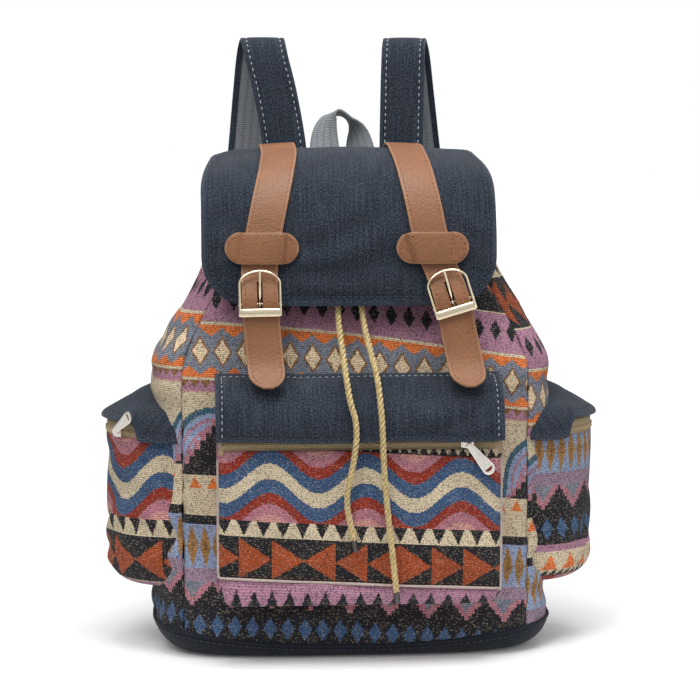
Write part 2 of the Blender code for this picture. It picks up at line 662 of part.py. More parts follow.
def make_buckle(side, x, lean, strap):
    """Frame with an arched top rail and a broad lower band, its hidden bar, prong and anchor tab."""
    half = BUCKLE_WIDTH / 2
    face = -(BUCKLE_FACE + LEATHER + GAP + BUCKLE_RAIL / 2 + 0.0004)
    bar_y = -(BUCKLE_FACE - 2 * GAP - TAB_LEATHER - BAR_DIAMETER / 2)
    bar_z = BAR_HEIGHT
    base = Vector((x, 0, BUCKLE_BASE))

    def place(px, y, pz, tilt=BUCKLE_TILT):
        up = pz - BUCKLE_HEIGHT / 2
        return Vector((
            base.x + px * math.cos(lean) - up * math.sin(lean),
            y + tilt * (pz - bar_z),
            base.z + BUCKLE_HEIGHT / 2 + px * math.sin(lean) + up * math.cos(lean),
        ))

    inner_half = half - BUCKLE_RAIL
    rings = []
    for y in (face + BUCKLE_RAIL / 2, face - BUCKLE_RAIL / 2):
        outer_loop = [(-half, 0.0), (half, 0.0)]
        hole_loop = [(-inner_half, BUCKLE_BAND), (inner_half, BUCKLE_BAND)]
        arch = BUCKLE_HEIGHT * 0.30
        for a in np.linspace(0, math.pi, 13):
            outer_loop.append((half * math.cos(a), BUCKLE_HEIGHT - arch + arch * math.sin(a)))
            hole_loop.append((inner_half * math.cos(a),
                              BUCKLE_HEIGHT - arch + (arch - BUCKLE_RAIL) * math.sin(a)))
        rings.append((y, outer_loop, hole_loop))
    bm = bmesh.new()
    layers = [([bm.verts.new(place(px, y, pz)) for px, pz in outer_loop],
               [bm.verts.new(place(px, y, pz)) for px, pz in hole_loop]) for y, outer_loop, hole_loop in rings]
    (o0, h0), (o1, h1) = layers
    count = len(o0)
    for i in range(count):
        j = (i + 1) % count
        bm.faces.new((o0[i], o0[j], o1[j], o1[i]))
        bm.faces.new((h0[j], h0[i], h1[i], h1[j]))
        bm.faces.new((o0[j], o0[i], h0[i], h0[j]))
        bm.faces.new((o1[i], o1[j], h1[j], h1[i]))
    frame = finish(f"buckle_frame_{side}", bm, "gold")
    back = bar_y
    for k, s in enumerate((-1, 1)):
        lug_bm = bmesh.new()
        bmesh.ops.create_cube(lug_bm, size=1.0)
        for v in lug_bm.verts:
            px = s * (half - BUCKLE_RAIL / 2) + v.co.x * BUCKLE_RAIL * 0.96
            y = (face + back) / 2 + v.co.y * (abs(face - back) + BAR_DIAMETER * 0.8)
            v.co = place(px, y, bar_z + v.co.z * BAR_DIAMETER * 1.3)
        boolean(frame, finish(f"buckle_lug_{side}_{k}", lug_bm, "gold"), "UNION")
    bar = round_bar(f"buckle_bar_{side}", place(-half + 0.0004, back, bar_z), place(half - 0.0004, back, bar_z),
                    BAR_DIAMETER, "gold")
    boolean(frame, bar, "UNION")

    pivot = place(0, back, bar_z)
    axis = (place(1, 0, 0) - place(0, 0, 0)).normalized()
    make_prong(side, place, pivot, axis, face, bar_z, back)
    make_anchor(side, place, bar_z, back)
    hole = finish_box(f"strap_hole_{side}", place, (-PRONG_DIAMETER / 2 - PRONG_SLOT, PRONG_DIAMETER / 2 + PRONG_SLOT),
                      (-BUCKLE_FACE - LEATHER - 0.004, -BUCKLE_FACE + 0.0040), (bar_z - 0.0030, bar_z + 0.0200))
    boolean(strap, hole, "DIFFERENCE")


def finish_box(name, place, xs, ys, zs):
    bm = bmesh.new()
    bmesh.ops.create_cube(bm, size=1.0)
    for v in bm.verts:
        px = xs[0] + (v.co.x + 0.5) * (xs[1] - xs[0])
        y = ys[0] + (v.co.y + 0.5) * (ys[1] - ys[0])
        pz = zs[0] + (v.co.z + 0.5) * (zs[1] - zs[0])
        v.co = place(px, y, pz)
    return finish(name, bm, "leather")


def make_prong(side, place, pivot, axis, face, bar_z, back):
    """Eye round the bar and a tapering pin that comes up through the strap onto the arch."""
    eye_radius = BAR_DIAMETER / 2 + RUN
    wall = 0.0011
    half_width = PRONG_DIAMETER / 2
    outline = []
    steps = 14
    for a in np.linspace(math.radians(200), math.radians(-100), steps):
        outline.append((back + (eye_radius + wall) * -math.cos(a), bar_z + (eye_radius + wall) * math.sin(a)))
    for a in np.linspace(math.radians(-100), math.radians(200), steps):
        outline.append((back + eye_radius * -math.cos(a), bar_z + eye_radius * math.sin(a)))
    bm = bmesh.new()
    for s in (-1, 1):
        ring = [bm.verts.new(place(s * half_width, y, z)) for y, z in outline]
        if s == -1:
            low = ring
    high = ring
    count = len(outline)
    for i in range(count):
        j = (i + 1) % count
        bm.faces.new((low[i], low[j], high[j], high[i]))
    for i in range(steps - 1):
        m = count - 1 - i
        bm.faces.new((low[i], low[i + 1], low[m - 1], low[m]))
        bm.faces.new((high[i + 1], high[i], high[m], high[m - 1]))
    prong = finish(f"buckle_prong_{side}", bm, "gold")
    top = BUCKLE_HEIGHT - BUCKLE_RAIL / 2
    start = (back - (eye_radius + wall / 2) * 0.75, bar_z + (eye_radius + wall / 2) * 0.70)
    rest = face - BUCKLE_RAIL / 2 - GAP - PRONG_DIAMETER * 0.42
    path = [(0, *start), (0, start[0] - 0.0030, start[1] + 0.0040), (0, rest + 0.0005, start[1] + 0.0110),
            (0, rest, top - 0.002), (0, rest, top + 0.0012)]
    centres = [place(px, y, pz) for px, y, pz in smooth_path(path, 10)]
    sides, outs = frames_along(centres, axis)
    rings = []
    for k, (c, s, o) in enumerate(zip(centres, sides, outs)):
        r = half_width * (1.0 - 0.25 * k / 9)
        rings.append([c + s * r * math.cos(a) + o * r * 0.84 * math.sin(a)
                      for a in np.linspace(0, 2 * math.pi, 8, endpoint=False)])
    pin = ring_solid(f"prong_pin_{side}", rings, "gold")
    boolean(prong, pin, "UNION")
    set_origin_with(prong, pin, pivot)


def set_origin_with(obj, helper, place):
    set_origin(obj, place)
    set_origin(helper, place)


def make_anchor(side, place, bar_z, back):
    """Leather tab folded round the bar, slotted for the prong, with both layers sewn to the body."""
    r = BAR_DIAMETER / 2 + GAP
    thick = TAB_LEATHER
    steps = 9
    foot_z = -TAB_FOOT
    foot = place(0, 0, foot_z, 0)
    skin = front_y(foot.x, foot.z) - GAP - 0.0006
    outer, inner = [], []
    for a in np.linspace(math.radians(-12), math.radians(192), steps):
        outer.append((back + (r + thick) * math.cos(a), bar_z + (r + thick) * math.sin(a)))
        inner.append((back + r * math.cos(a), bar_z + r * math.sin(a)))
    rear_leg = [(-FLAP_FRONT - 0.0012, bar_z - 0.0042), (-FLAP_FRONT - 0.0009, FLAP_BOTTOM - BUCKLE_BASE - 0.0040),
                (skin - thick * 0.5 - 0.0040, -0.0120), (skin - thick * 0.5, -0.0205), (skin - thick * 0.5, foot_z)]
    rear_out = [(y + thick * 0.5, z) for y, z in rear_leg]
    rear_in = [(y - thick * 0.5, z) for y, z in rear_leg]
    front_leg = [(y - thick * 1.0 - GAP, z) for y, z in rear_leg]
    front_out = [(y - thick * 0.5, z) for y, z in front_leg]
    front_in = [(y + thick * 0.5, z) for y, z in front_leg]
    section = rear_out[::-1] + outer + front_out + front_in[::-1] + inner[::-1] + rear_in
    bm = bmesh.new()
    half = STRAP_WIDTH / 2 - 0.0016
    loops = [[bm.verts.new(place(s * half, y, z, 0)) for y, z in section] for s in (-1, 1)]
    count = len(section)
    for i in range(count):
        j = (i + 1) % count
        bm.faces.new((loops[0][i], loops[0][j], loops[1][j], loops[1][i]))
    pairs = count // 2
    for loop, flip in ((loops[0], False), (loops[1], True)):
        for i in range(pairs - 1):
            quad = [loop[i], loop[i + 1], loop[count - 2 - i], loop[count - 1 - i]]
            bm.faces.new(quad[::-1] if flip else quad)
    tab = finish(f"buckle_anchor_{side}", bm, "leather")
    slot_half = PRONG_DIAMETER / 2 + PRONG_SLOT
    slot = finish_box(f"anchor_slot_{side}", place, (-slot_half, slot_half),
                      (back - 0.012, back + 0.012), (bar_z - 0.0048, bar_z + 0.020))
    boolean(tab, slot, "DIFFERENCE")


def pocket_outline(inset, step):
    """Left side, bottom and right side of the front pocket's outline, with round lower corners."""
    half, low = POCKET_HALF_WIDTH - inset, POCKET_BOTTOM + inset
    top = GUSSET_TOP
    r = POCKET_CORNER - inset
    points = [(-half, top), (-half, (top + low) / 2), (-half, low + r)]
    points += [(-half + r - r * math.cos(a), low + r - r * math.sin(a)) for a in np.linspace(0, math.pi / 2, step)[1:]]
    points += [(half * s, low) for s in (-0.78, -0.62, -0.46, -0.3, -0.1, 0.1, 0.3, 0.46, 0.62, 0.78)]
    points += [(half - r + r * math.sin(a), low + r - r * math.cos(a)) for a in np.linspace(0, math.pi / 2, step)]
    points += [(half, (top + low) / 2), (half, top)]
    return points


def pocket_face_y(x, z):
    """Front pocket's outer face: flat at the zip, fuller below."""
    across = 1 - (abs(x) / POCKET_HALF_WIDTH) ** 4
    span = (ZIP_HEIGHT - z) / (ZIP_HEIGHT - POCKET_BOTTOM)
    return -POCKET_FACE - POCKET_BULGE * max(0.0, across) * math.sin(math.pi * min(max(span, 0), 1)) ** 0.8


def make_front_pocket():
    rim = POCKET_FACE - FABRIC - GAP
    outline, inside = pocket_outline(0.0, 5), pocket_outline(FABRIC, 5)
    depths = (0.0, 0.5, 1.0)
    outer = [[(x, front_y(x, z, 2 * GAP) * (1 - d) - rim * d, z) for x, z in outline] for d in depths]
    inner = [[(x, front_y(x, z, 2 * GAP) * (1 - d) - rim * d, z) for x, z in inside] for d in depths]
    sheet_solid("pocket_gusset", outer, inner, "jacquard")

    top = ZIP_HEIGHT - ZIP_TAPE_BELOW - GAP
    rows, columns = 9, 17
    grids = []
    for layer in (0.0, FABRIC):
        grid = []
        for t in np.linspace(0, 1, rows):
            row = []
            for s in np.linspace(-1, 1, columns):
                x = s * POCKET_HALF_WIDTH
                over = max(0.0, abs(x) - (POCKET_HALF_WIDTH - POCKET_CORNER))
                low = POCKET_BOTTOM + POCKET_CORNER - math.sqrt(max(0.0, POCKET_CORNER ** 2 - over ** 2))
                z = low + (top - low) * t
                row.append((x, pocket_face_y(x, z) + layer, z))
            grid.append(row)
        grids.append(grid)
    sheet_solid("pocket_front", grids[0], grids[1], "jacquard")

    offset = PIPING_DIAMETER / 2 + GAP
    route = []
    half, low, r = POCKET_HALF_WIDTH + offset, POCKET_BOTTOM - offset, POCKET_CORNER + offset
    y = -POCKET_FACE + 0.0004
    for z in (top, (top + low) / 2, low + r):
        route.append((-half, y, z))
    route += [(-half + r - r * math.cos(a), y, low + r - r * math.sin(a)) for a in np.linspace(0, math.pi / 2, 6)[1:]]
    route += [(half * s, y, low) for s in (-0.5, 0.0, 0.5)]
    route += [(half - r + r * math.sin(a), y, low + r - r * math.cos(a)) for a in np.linspace(0, math.pi / 2, 6)]
    route += [(half, y, (top + low) / 2), (half, y, top)]
    tube("pocket_piping", route, PIPING_DIAMETER, "tape")

    make_pocket_zip()
    make_pocket_band()


def make_pocket_zip():
    face = -POCKET_FACE + 0.0008
    low, high = ZIP_HEIGHT - ZIP_TAPE_BELOW, ZIP_HEIGHT + ZIP_TAPE_ABOVE
    half = POCKET_HALF_WIDTH - 0.004
    chain = CHAIN_WIDTH / 2
    section = [(face + ZIP_TAPE, low), (face, low), (face, ZIP_HEIGHT - chain), (face - CHAIN_RISE, ZIP_HEIGHT - chain),
               (face - CHAIN_RISE, ZIP_HEIGHT + chain), (face, ZIP_HEIGHT + chain), (face, high),
               (face + ZIP_TAPE, high)]
    rings = [[(x, y, z) for y, z in section] for x in (-half, half)]
    ring_solid("pocket_zip_tape", rings, "tape")
    zip_slider("pocket_zip_slider",
               lambda along, out, up: Vector((POCKET_SLIDER_X + along, face - out, ZIP_HEIGHT + up)))
    pull_angle = math.radians(POCKET_PULL_ANGLE)
    along = Vector((math.cos(pull_angle), 0, math.sin(pull_angle)))
    eye = Vector((POCKET_SLIDER_X, face - SLIDER_RISE + 0.0012, ZIP_HEIGHT))
    zip_pull("pocket_zip_pull", eye, along, Vector((0, -1, 0)))



def zip_slider(name, place):
    """Plate over the chain with two flanges beside it and a bridge that carries the pull."""
    half, wide = SLIDER_LENGTH / 2, SLIDER_WIDTH / 2
    clear = CHAIN_WIDTH / 2 + RUN
    floor, roof = RUN, CHAIN_RISE + RUN
    plate = roof + SLIDER_WALL
    section = [(-wide, floor), (-clear, floor), (-clear, roof), (clear, roof), (clear, floor), (wide, floor),
               (wide, plate - 0.0003), (wide - 0.0004, plate), (-wide + 0.0004, plate), (-wide, plate - 0.0003)]
    rings = []
    for along, squeeze in ((-half, 0.86), (-half * 0.6, 0.94), (0.0, 1.0), (half, 1.0)):
        rings.append([place(along, out, up * squeeze if abs(up) > clear * 1.01 else up) for up, out in section])
    body = ring_solid(name, rings, "silver")
    bridge = [(-half * 0.72, plate - 0.0004), (-half * 0.72, plate + 0.0016), (-half * 0.45, plate + 0.0026),
              (half * 0.45, plate + 0.0026), (half * 0.72, plate + 0.0016), (half * 0.72, plate - 0.0004),
              (half * 0.48, plate - 0.0004), (half * 0.46, plate + 0.0010), (half * 0.34, plate + 0.0016),
              (-half * 0.34, plate + 0.0016), (-half * 0.46, plate + 0.0010), (-half * 0.48, plate - 0.0004)]
    bm = bmesh.new()
    loops = [[bm.verts.new(place(along, out, up)) for along, out in bridge] for up in (-0.0010, 0.0010)]
    count = len(bridge)
    for i in range(count):
        j = (i + 1) % count
        bm.faces.new((loops[0][i], loops[0][j], loops[1][j], loops[1][i]))
    for loop in loops:
        for i in range(count // 2 - 1):
            bm.faces.new((loop[i], loop[i + 1], loop[count - 2 - i], loop[count - 1 - i]))
    part = finish(f"{name}_bridge", bm, "silver")
    boolean(body, part, "UNION")
    return body


def zip_pull(name, eye, along, out):
    """Teardrop pull: a small eye at the bridge, widening to a round end with a half-moon slot."""
    across = out.cross(along).normalized()
    out = along.cross(across).normalized() * (1 if along.cross(across).dot(out) > 0 else -1)
    lift = 0.0019
    centre = eye + out * lift
    outline, hole = [], []
    steps = 9
    neck, end = 0.0024, PULL_WIDTH / 2
    for a in np.linspace(math.pi / 2, 3 * math.pi / 2, steps):
        outline.append((neck - PULL_THICKNESS / 2 + neck * math.cos(a), neck * math.sin(a)))
    for a in np.linspace(-math.pi / 2, math.pi / 2, steps):
        outline.append((PULL_LENGTH - end - 0.002 + end * math.cos(a), end * math.sin(a)))
    slot_at = PULL_LENGTH - end - 0.0025
    for a in np.linspace(-math.pi / 2, math.pi / 2, 7):
        hole.append((slot_at + (end - 0.0016) * 0.75 * math.cos(a), (end - 0.0016) * math.sin(a)))
    bm = bmesh.new()
    layers = []
    for z in (-PULL_THICKNESS / 2, PULL_THICKNESS / 2):
        layers.append([bm.verts.new(centre + along * u + across * w + out * z) for u, w in outline])
    count = len(outline)
    for i in range(count):
        j = (i + 1) % count
        bm.faces.new((layers[0][i], layers[0][j], layers[1][j], layers[1][i]))
    bm.faces.new(layers[0])
    bm.faces.new(layers[1])
    pull = finish(name, bm, "silver")
    slot_bm = bmesh.new()
    loops = [[slot_bm.verts.new(centre + along * u + across * w + out * z) for u, w in hole] for z in (-0.003, 0.003)]
    count = len(hole)
    for i in range(count):
        j = (i + 1) % count
        slot_bm.faces.new((loops[0][i], loops[0][j], loops[1][j], loops[1][i]))
    slot_bm.faces.new(loops[0])
    slot_bm.faces.new(loops[1])
    slot = finish(f"{name}_slot", slot_bm, "silver")
    boolean(pull, slot, "DIFFERENCE")
    set_origin_with(pull, slot, centre)
    return pull


def make_pocket_band():
    """Denim top of the pocket, sloping out from the body and hanging over the zip."""
    face = -POCKET_FACE - BAND_STANDOFF
    columns = 13
    half = POCKET_HALF_WIDTH + 0.0012
    grids = [[], []]
    for x in np.linspace(-half, half, columns):
        fall = 0.004 * (abs(x) / half) ** 6
        path = [(front_y(x, POCKET_TOP, GAP + BAND_THICKNESS), POCKET_TOP),
                (-POCKET_FACE + 0.012, POCKET_TOP - 0.006),
                (-POCKET_FACE + 0.0015, POCKET_TOP - 0.0155), (face + 0.003 + fall, POCKET_TOP - 0.026),
                (face + fall, POCKET_TOP - 0.038), (face + fall, BAND_EDGE)]
        line = smooth_path([(x, y, z) for y, z in path], 10)
        _, outs = frames_along(line, (1.0, 0.0, 0.0))
        grids[0].append([Vector(p) for p in line])
        inner = []
        for p, o in zip(line, outs):
            away = o if o.y > 0 else -o
            inner.append(Vector(p) + away * BAND_THICKNESS)
        inner[0] = Vector((x, front_y(x, POCKET_TOP, GAP), POCKET_TOP - BAND_THICKNESS))
        grids[1].append(inner)
    sheet_solid("pocket_band", grids[0], grids[1], "denim")


def side_reach(radius, z, y_sign, gap):
    """Angle at which a circle of this radius about the side pocket's axis meets the body's side."""
    low, high = 0.0, math.pi / 2
    for _ in range(30):
        middle = (low + high) / 2
        y = y_sign * radius * math.sin(middle)
        if SIDE_AXIS_X + radius * math.cos(middle) > side_x(y, z) + gap:
            low = middle
        else:
            high = middle
    return low


def side_arc(s, radius, z, count, gap):
    """Points round the pocket, from the front to the back, ending at the body's side."""
    front = side_reach(radius, z, -1, gap)
    back = side_reach(radius, z, 1, gap)
    return [(s * (SIDE_AXIS_X + radius * math.cos(a)), radius * math.sin(a), z) for a in np.linspace(-front, back, count)]


def make_side_pocket(side, s, slider_at, pull_lies):
    seat = GAP + 0.0004
    low = SIDE_BOTTOM
    zip_low = SIDE_ZIP - SIDE_TAPE_HALF - GAP
    profile = [(0.0275, low), (0.036, low), (SIDE_RADIUS - SIDE_CORNER, low)]
    profile += [(SIDE_RADIUS - SIDE_CORNER + SIDE_CORNER * math.sin(a), low + SIDE_CORNER - SIDE_CORNER * math.cos(a))
                for a in (math.radians(30), math.radians(60), math.radians(90))]
    profile += [(SIDE_RADIUS + 0.0006, low + 0.045), (SIDE_RADIUS + 0.0006, low + 0.080), (SIDE_RADIUS, zip_low)]
    outer = [side_arc(s, r, z, 19, seat) for r, z in profile]
    inner = []
    for k, (r, z) in enumerate(profile):
        turn = min(max((k - 2) / 3, 0), 1) * math.pi / 2
        inner.append(side_arc(s, r - FABRIC * math.sin(turn), z + FABRIC * math.cos(turn), 19, seat))
    sheet_solid(f"side_pocket_shell_{side}", outer, inner, "jacquard")

    chain = CHAIN_WIDTH / 2
    low, high = SIDE_ZIP - SIDE_TAPE_HALF, SIDE_ZIP + SIDE_TAPE_HALF
    base = SIDE_RADIUS - 0.0006
    outline = [(base - ZIP_TAPE, low), (base, low), (base, SIDE_ZIP - chain), (base + CHAIN_RISE, SIDE_ZIP - chain),
               (base + CHAIN_RISE, SIDE_ZIP + chain), (base, SIDE_ZIP + chain), (base, high), (base - ZIP_TAPE, high)]
    reach_front = side_reach(base, SIDE_ZIP, -1, seat + 0.0012)
    reach_back = side_reach(base, SIDE_ZIP, 1, seat + 0.0012)
    rings = [[(s * (SIDE_AXIS_X + r * math.cos(a)), r * math.sin(a), z) for r, z in outline]
             for a in np.linspace(-reach_front, reach_back, 29)]
    ring_solid(f"side_zip_tape_{side}", rings, "tape")

    roof = [(SIDE_RADIUS + SIDE_ROOF_OVERHANG, SIDE_ROOF_EDGE), (SIDE_RADIUS + 0.001, SIDE_ROOF_EDGE + 0.0045),
            (SIDE_RADIUS - 0.006, SIDE_ROOF_EDGE + 0.0085), (SIDE_RADIUS - 0.013, SIDE_ROOF_EDGE + 0.0125),
            (SIDE_RADIUS - 0.020, SIDE_ROOF_EDGE + 0.0165), (SIDE_RADIUS - 0.027, SIDE_ROOF_TOP - 0.0035),
            (SIDE_RADIUS - 0.0340, SIDE_ROOF_TOP)]
    outer = [side_arc(s, r, z, 15, seat + 0.0005) for r, z in roof]
    inner = [side_arc(s, r - 0.0006, z - SIDE_ROOF_WALL, 15, seat + 0.0005) for r, z in roof]
    sheet_solid(f"side_pocket_roof_{side}", outer, inner, "denim")

    turn = math.radians(slider_at)

    def place(along, out, up):
        angle = -turn + along / base
        r = base + out
        return Vector((s * (SIDE_AXIS_X + r * math.cos(angle)), r * math.sin(angle), SIDE_ZIP + up))

    slider = zip_slider(f"side_zip_slider_{side}", place)
    pivot = Vector((s * SIDE_AXIS_X, 0, SIDE_ZIP))
    set_origin(slider, pivot)
    set_origin(bpy.data.objects[f"side_zip_slider_{side}_bridge"], pivot)
    outward = (place(0, 0.01, 0) - place(0, 0, 0)).normalized()
    forward = (place(0.001, 0, 0) - place(-0.001, 0, 0)).normalized()
    eye = place(0, SLIDER_RISE - 0.0012, 0)
    lies = (forward * pull_lies[0] + Vector((0, 0, pull_lies[1]))).normalized()
    zip_pull(f"side_zip_pull_{side}", eye, lies, outward)


def make_shoulder_strap(side, route):
    s = -1 if side == "left" else 1
    root = flap_back() + GAP + 0.0003 + SHOULDER_THICKNESS
    centres = smooth_path([(x, root + reach, FLAP_SEAM_HEIGHT + rise) for x, reach, rise in route], 52)
    sides, outs = frames_along(centres, (1.0, 0.0, 0.0), square=False)
    ribbon(f"shoulder_strap_{side}", centres, sides, outs, SHOULDER_WIDTH, 0.0, SHOULDER_THICKNESS, "denim")
    ribbon(f"strap_lining_{side}", centres, sides, outs, WEBBING_WIDTH, -LINING_GAP - LINING_THICKNESS,
           -LINING_GAP, "webbing")

    end = Vector(centres[-1])
    along = (Vector(centres[-1]) - Vector(centres[-2])).normalized()
    side_vector, out = sides[-1], outs[-1]
    half = SHOULDER_WIDTH / 2 + 0.001
    top = end + along * (GAP + 0.0002)

    def place(u, v, w):
        return top + side_vector * u + along * v + out * w

    bm = bmesh.new()
    bars = (0.0, ADJUSTER_HEIGHT / 2 - ADJUSTER_RAIL / 2, ADJUSTER_HEIGHT - ADJUSTER_RAIL)
    outer_loop = [(-half, 0.0), (half, 0.0), (half, ADJUSTER_HEIGHT), (-half, ADJUSTER_HEIGHT)]
    loops = [[bm.verts.new(place(u, v, w)) for u, v in outer_loop] for w in (0.0, ADJUSTER_THICKNESS)]
    for i in range(4):
        j = (i + 1) % 4
        bm.faces.new((loops[0][i], loops[0][j], loops[1][j], loops[1][i]))
    bm.faces.new(loops[0])
    bm.faces.new(loops[1])
    bmesh.ops.recalc_face_normals(bm, faces=bm.faces)
    adjuster = finish(f"adjuster_{side}", bm, "plastic")
    for k in range(2):
        low = bars[k] + ADJUSTER_RAIL
        high = bars[k + 1]
        hole_bm = bmesh.new()
        bmesh.ops.create_cube(hole_bm, size=1.0)
        for v in hole_bm.verts:
            v.co = place(v.co.x * 2 * (half - ADJUSTER_RAIL), low + (v.co.y + 0.5) * (high - low),
                         ADJUSTER_THICKNESS / 2 + v.co.z * 0.03)
        boolean(adjuster, finish(f"adjuster_slot_{side}_{k}", hole_bm, "plastic"), "DIFFERENCE")

    slot_middle = bars[1] + ADJUSTER_RAIL + (bars[2] - bars[1] - ADJUSTER_RAIL) / 2
    start = place(0, slot_middle, ADJUSTER_THICKNESS / 2)
    x_end, target_z = s * LOWER_WEBBING_END[0], LOWER_WEBBING_END[1]
    path = [place(0, slot_middle - 0.001, ADJUSTER_THICKNESS + 0.001), start,
            place(0, slot_middle + 0.0030, -0.0042), place(0, slot_middle + 0.012, -0.0065),
            *(Vector((s * x, y, z)) for x, y, z in LOWER_WEBBING_BENDS),
            Vector((x_end, back_y(x_end, target_z) + GAP + WEBBING_THICKNESS / 2 + 0.0006, target_z))]
    points = smooth_path([tuple(p) for p in path], 22)
    sides2, outs2 = frames_along(points, tuple(side_vector))
    ribbon(f"lower_webbing_{side}", points, sides2, outs2, WEBBING_WIDTH,
           -WEBBING_THICKNESS / 2, WEBBING_THICKNESS / 2, "webbing")


def make_handle():
    root = flap_back() + GAP + HANDLE_THICKNESS / 2 + 0.0003
    knots = [(x, root + reach, FLAP_SEAM_HEIGHT + rise, *across) for (x, reach, rise), across in HANDLE_ROUTE]
    path = smooth_path(knots, 30)
    centres = path[:, :3]
    sides, outs = frames_along(centres, path[:, 3:])
    ribbon("carry_handle", centres, sides, outs, WEBBING_WIDTH, -HANDLE_THICKNESS / 2, HANDLE_THICKNESS / 2, "webbing")


def main():
    for obj in list(bpy.data.objects):
        bpy.data.objects.remove(obj, do_unlink=True)
    make_base()
    make_body()
    make_collar()
    make_cords()
    make_flap()
    make_straps()
    make_front_pocket()
    make_side_pocket("left", -1, LEFT_SLIDER_AT, LEFT_PULL)
    make_side_pocket("right", 1, RIGHT_SLIDER_AT, RIGHT_PULL)
    make_shoulder_strap("left", SHOULDER_LEFT)
    make_shoulder_strap("right", SHOULDER_RIGHT)
    make_handle()


main()
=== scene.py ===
import functools
import json
import math

import bmesh
import bpy
import numpy as np
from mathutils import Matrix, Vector, noise

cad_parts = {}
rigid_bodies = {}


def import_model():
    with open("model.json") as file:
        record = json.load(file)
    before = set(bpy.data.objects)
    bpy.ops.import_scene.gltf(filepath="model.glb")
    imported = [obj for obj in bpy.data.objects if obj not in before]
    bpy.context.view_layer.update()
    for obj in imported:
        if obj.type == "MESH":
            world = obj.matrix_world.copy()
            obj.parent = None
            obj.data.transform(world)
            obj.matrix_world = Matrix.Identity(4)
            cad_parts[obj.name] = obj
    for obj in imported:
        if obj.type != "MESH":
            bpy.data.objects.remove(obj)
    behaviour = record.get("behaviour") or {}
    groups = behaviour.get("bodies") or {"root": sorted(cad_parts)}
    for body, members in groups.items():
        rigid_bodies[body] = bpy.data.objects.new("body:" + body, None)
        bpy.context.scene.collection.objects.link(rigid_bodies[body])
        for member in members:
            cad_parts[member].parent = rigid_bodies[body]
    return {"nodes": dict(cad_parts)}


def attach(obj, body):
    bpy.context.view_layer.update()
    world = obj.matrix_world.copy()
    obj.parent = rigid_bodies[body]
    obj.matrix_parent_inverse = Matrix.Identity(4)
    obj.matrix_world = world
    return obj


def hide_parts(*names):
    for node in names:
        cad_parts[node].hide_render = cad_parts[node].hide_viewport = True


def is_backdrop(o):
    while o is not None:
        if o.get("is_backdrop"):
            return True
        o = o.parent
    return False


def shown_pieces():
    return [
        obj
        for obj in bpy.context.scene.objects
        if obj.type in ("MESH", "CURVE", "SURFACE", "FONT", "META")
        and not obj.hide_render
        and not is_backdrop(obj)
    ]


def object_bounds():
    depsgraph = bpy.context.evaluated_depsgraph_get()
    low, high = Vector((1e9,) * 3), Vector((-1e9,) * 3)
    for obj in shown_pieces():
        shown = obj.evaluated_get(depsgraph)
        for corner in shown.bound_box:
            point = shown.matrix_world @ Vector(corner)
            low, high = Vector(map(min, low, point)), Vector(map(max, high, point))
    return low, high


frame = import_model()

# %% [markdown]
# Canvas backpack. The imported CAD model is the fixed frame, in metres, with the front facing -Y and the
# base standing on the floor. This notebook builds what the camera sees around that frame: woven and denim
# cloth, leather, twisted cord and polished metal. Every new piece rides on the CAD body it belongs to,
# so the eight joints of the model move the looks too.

REST_BOUNDS = [list(p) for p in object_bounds()]
NODES = frame["nodes"]
print("CAD box, metres:", [[round(x, 4) for x in p] for p in REST_BOUNDS], "nodes:", len(NODES))

# %% [markdown]
# The driving sizes repeat the CAD source, so that the fine surfaces below land on the coarse solids.
# The body is a super-ellipse in plan: wide and square low down, drawn in and rounder at the mouth,
# which is what a drawstring does to a flat-sided bag.

# %% Driving sizes
GAP = 0.0003
FABRIC = 0.0018
BASE_HALF_WIDTH = 0.130
BASE_HALF_DEPTH = 0.058
BODY_HALF_WIDTH = 0.155
BODY_FRONT = 0.079
BODY_BACK = 0.070
BASE_RISE = 0.026
SHOULDER_HEIGHT = 0.215
MOUTH_HEIGHT = 0.322
MOUTH_HALF_WIDTH = 0.109
MOUTH_FRONT = 0.060
MOUTH_BACK = 0.058
CORNER_POWER = 3.6
MOUTH_POWER = 2.6
SEAM_SHARE = 0.86
BASE_RIM = 0.0105
BASE_RIM_SIDE = 0.0235
COLLAR_HEIGHT = 0.036
COLLAR_WALL = 0.0012
CORD_DIAMETER = 0.005
EYELET_HEIGHT = 0.334
FLAP_HALF_WIDTH = 0.114
FLAP_TOP_HALF_WIDTH = 0.105
FLAP_BOTTOM = 0.273
FLAP_CREST = 0.390
FLAP_SEAM_HEIGHT = 0.350
FLAP_CORNER = 0.036
FLAP_FRONT = 0.0875
FLAP_RUN = 0.262
LEATHER = 0.0022
STRAP_LIFT = 0.0008
TAB_LEATHER = 0.0011
STRAP_WIDTH = 0.0275
STRAP_TIP = 0.2135
KEEPER_LENGTH = 0.055
KEEPER_WIDTH = 0.0235
KEEPER_HEIGHT = 0.3165
BUCKLE_WIDTH = 0.0320
BUCKLE_HEIGHT = 0.0350
BUCKLE_RAIL = 0.0018
BUCKLE_BAND = 0.0065
BUCKLE_BASE = 0.2660
BAR_DIAMETER = 0.0024
BAR_HEIGHT = 0.0090
BUCKLE_TILT = 0.16
PRONG_DIAMETER = 0.0022
BUCKLE_FACE = FLAP_FRONT + BAR_DIAMETER + 2 * TAB_LEATHER + 5 * GAP
POCKET_HALF_WIDTH = 0.107
POCKET_BOTTOM = 0.048
POCKET_TOP = 0.222
POCKET_FACE = 0.106
POCKET_BULGE = 0.006
POCKET_CORNER = 0.014
ZIP_HEIGHT = 0.171
ZIP_TAPE = 0.0009
BAND_STANDOFF = 0.0096
BAND_EDGE = 0.1735
SIDE_AXIS_X = 0.135
SIDE_RADIUS = 0.057
SIDE_BOTTOM = 0.051
SIDE_CORNER = 0.021
SIDE_ZIP = 0.172
SIDE_TAPE_HALF = 0.0085
SIDE_ROOF_EDGE = 0.1815
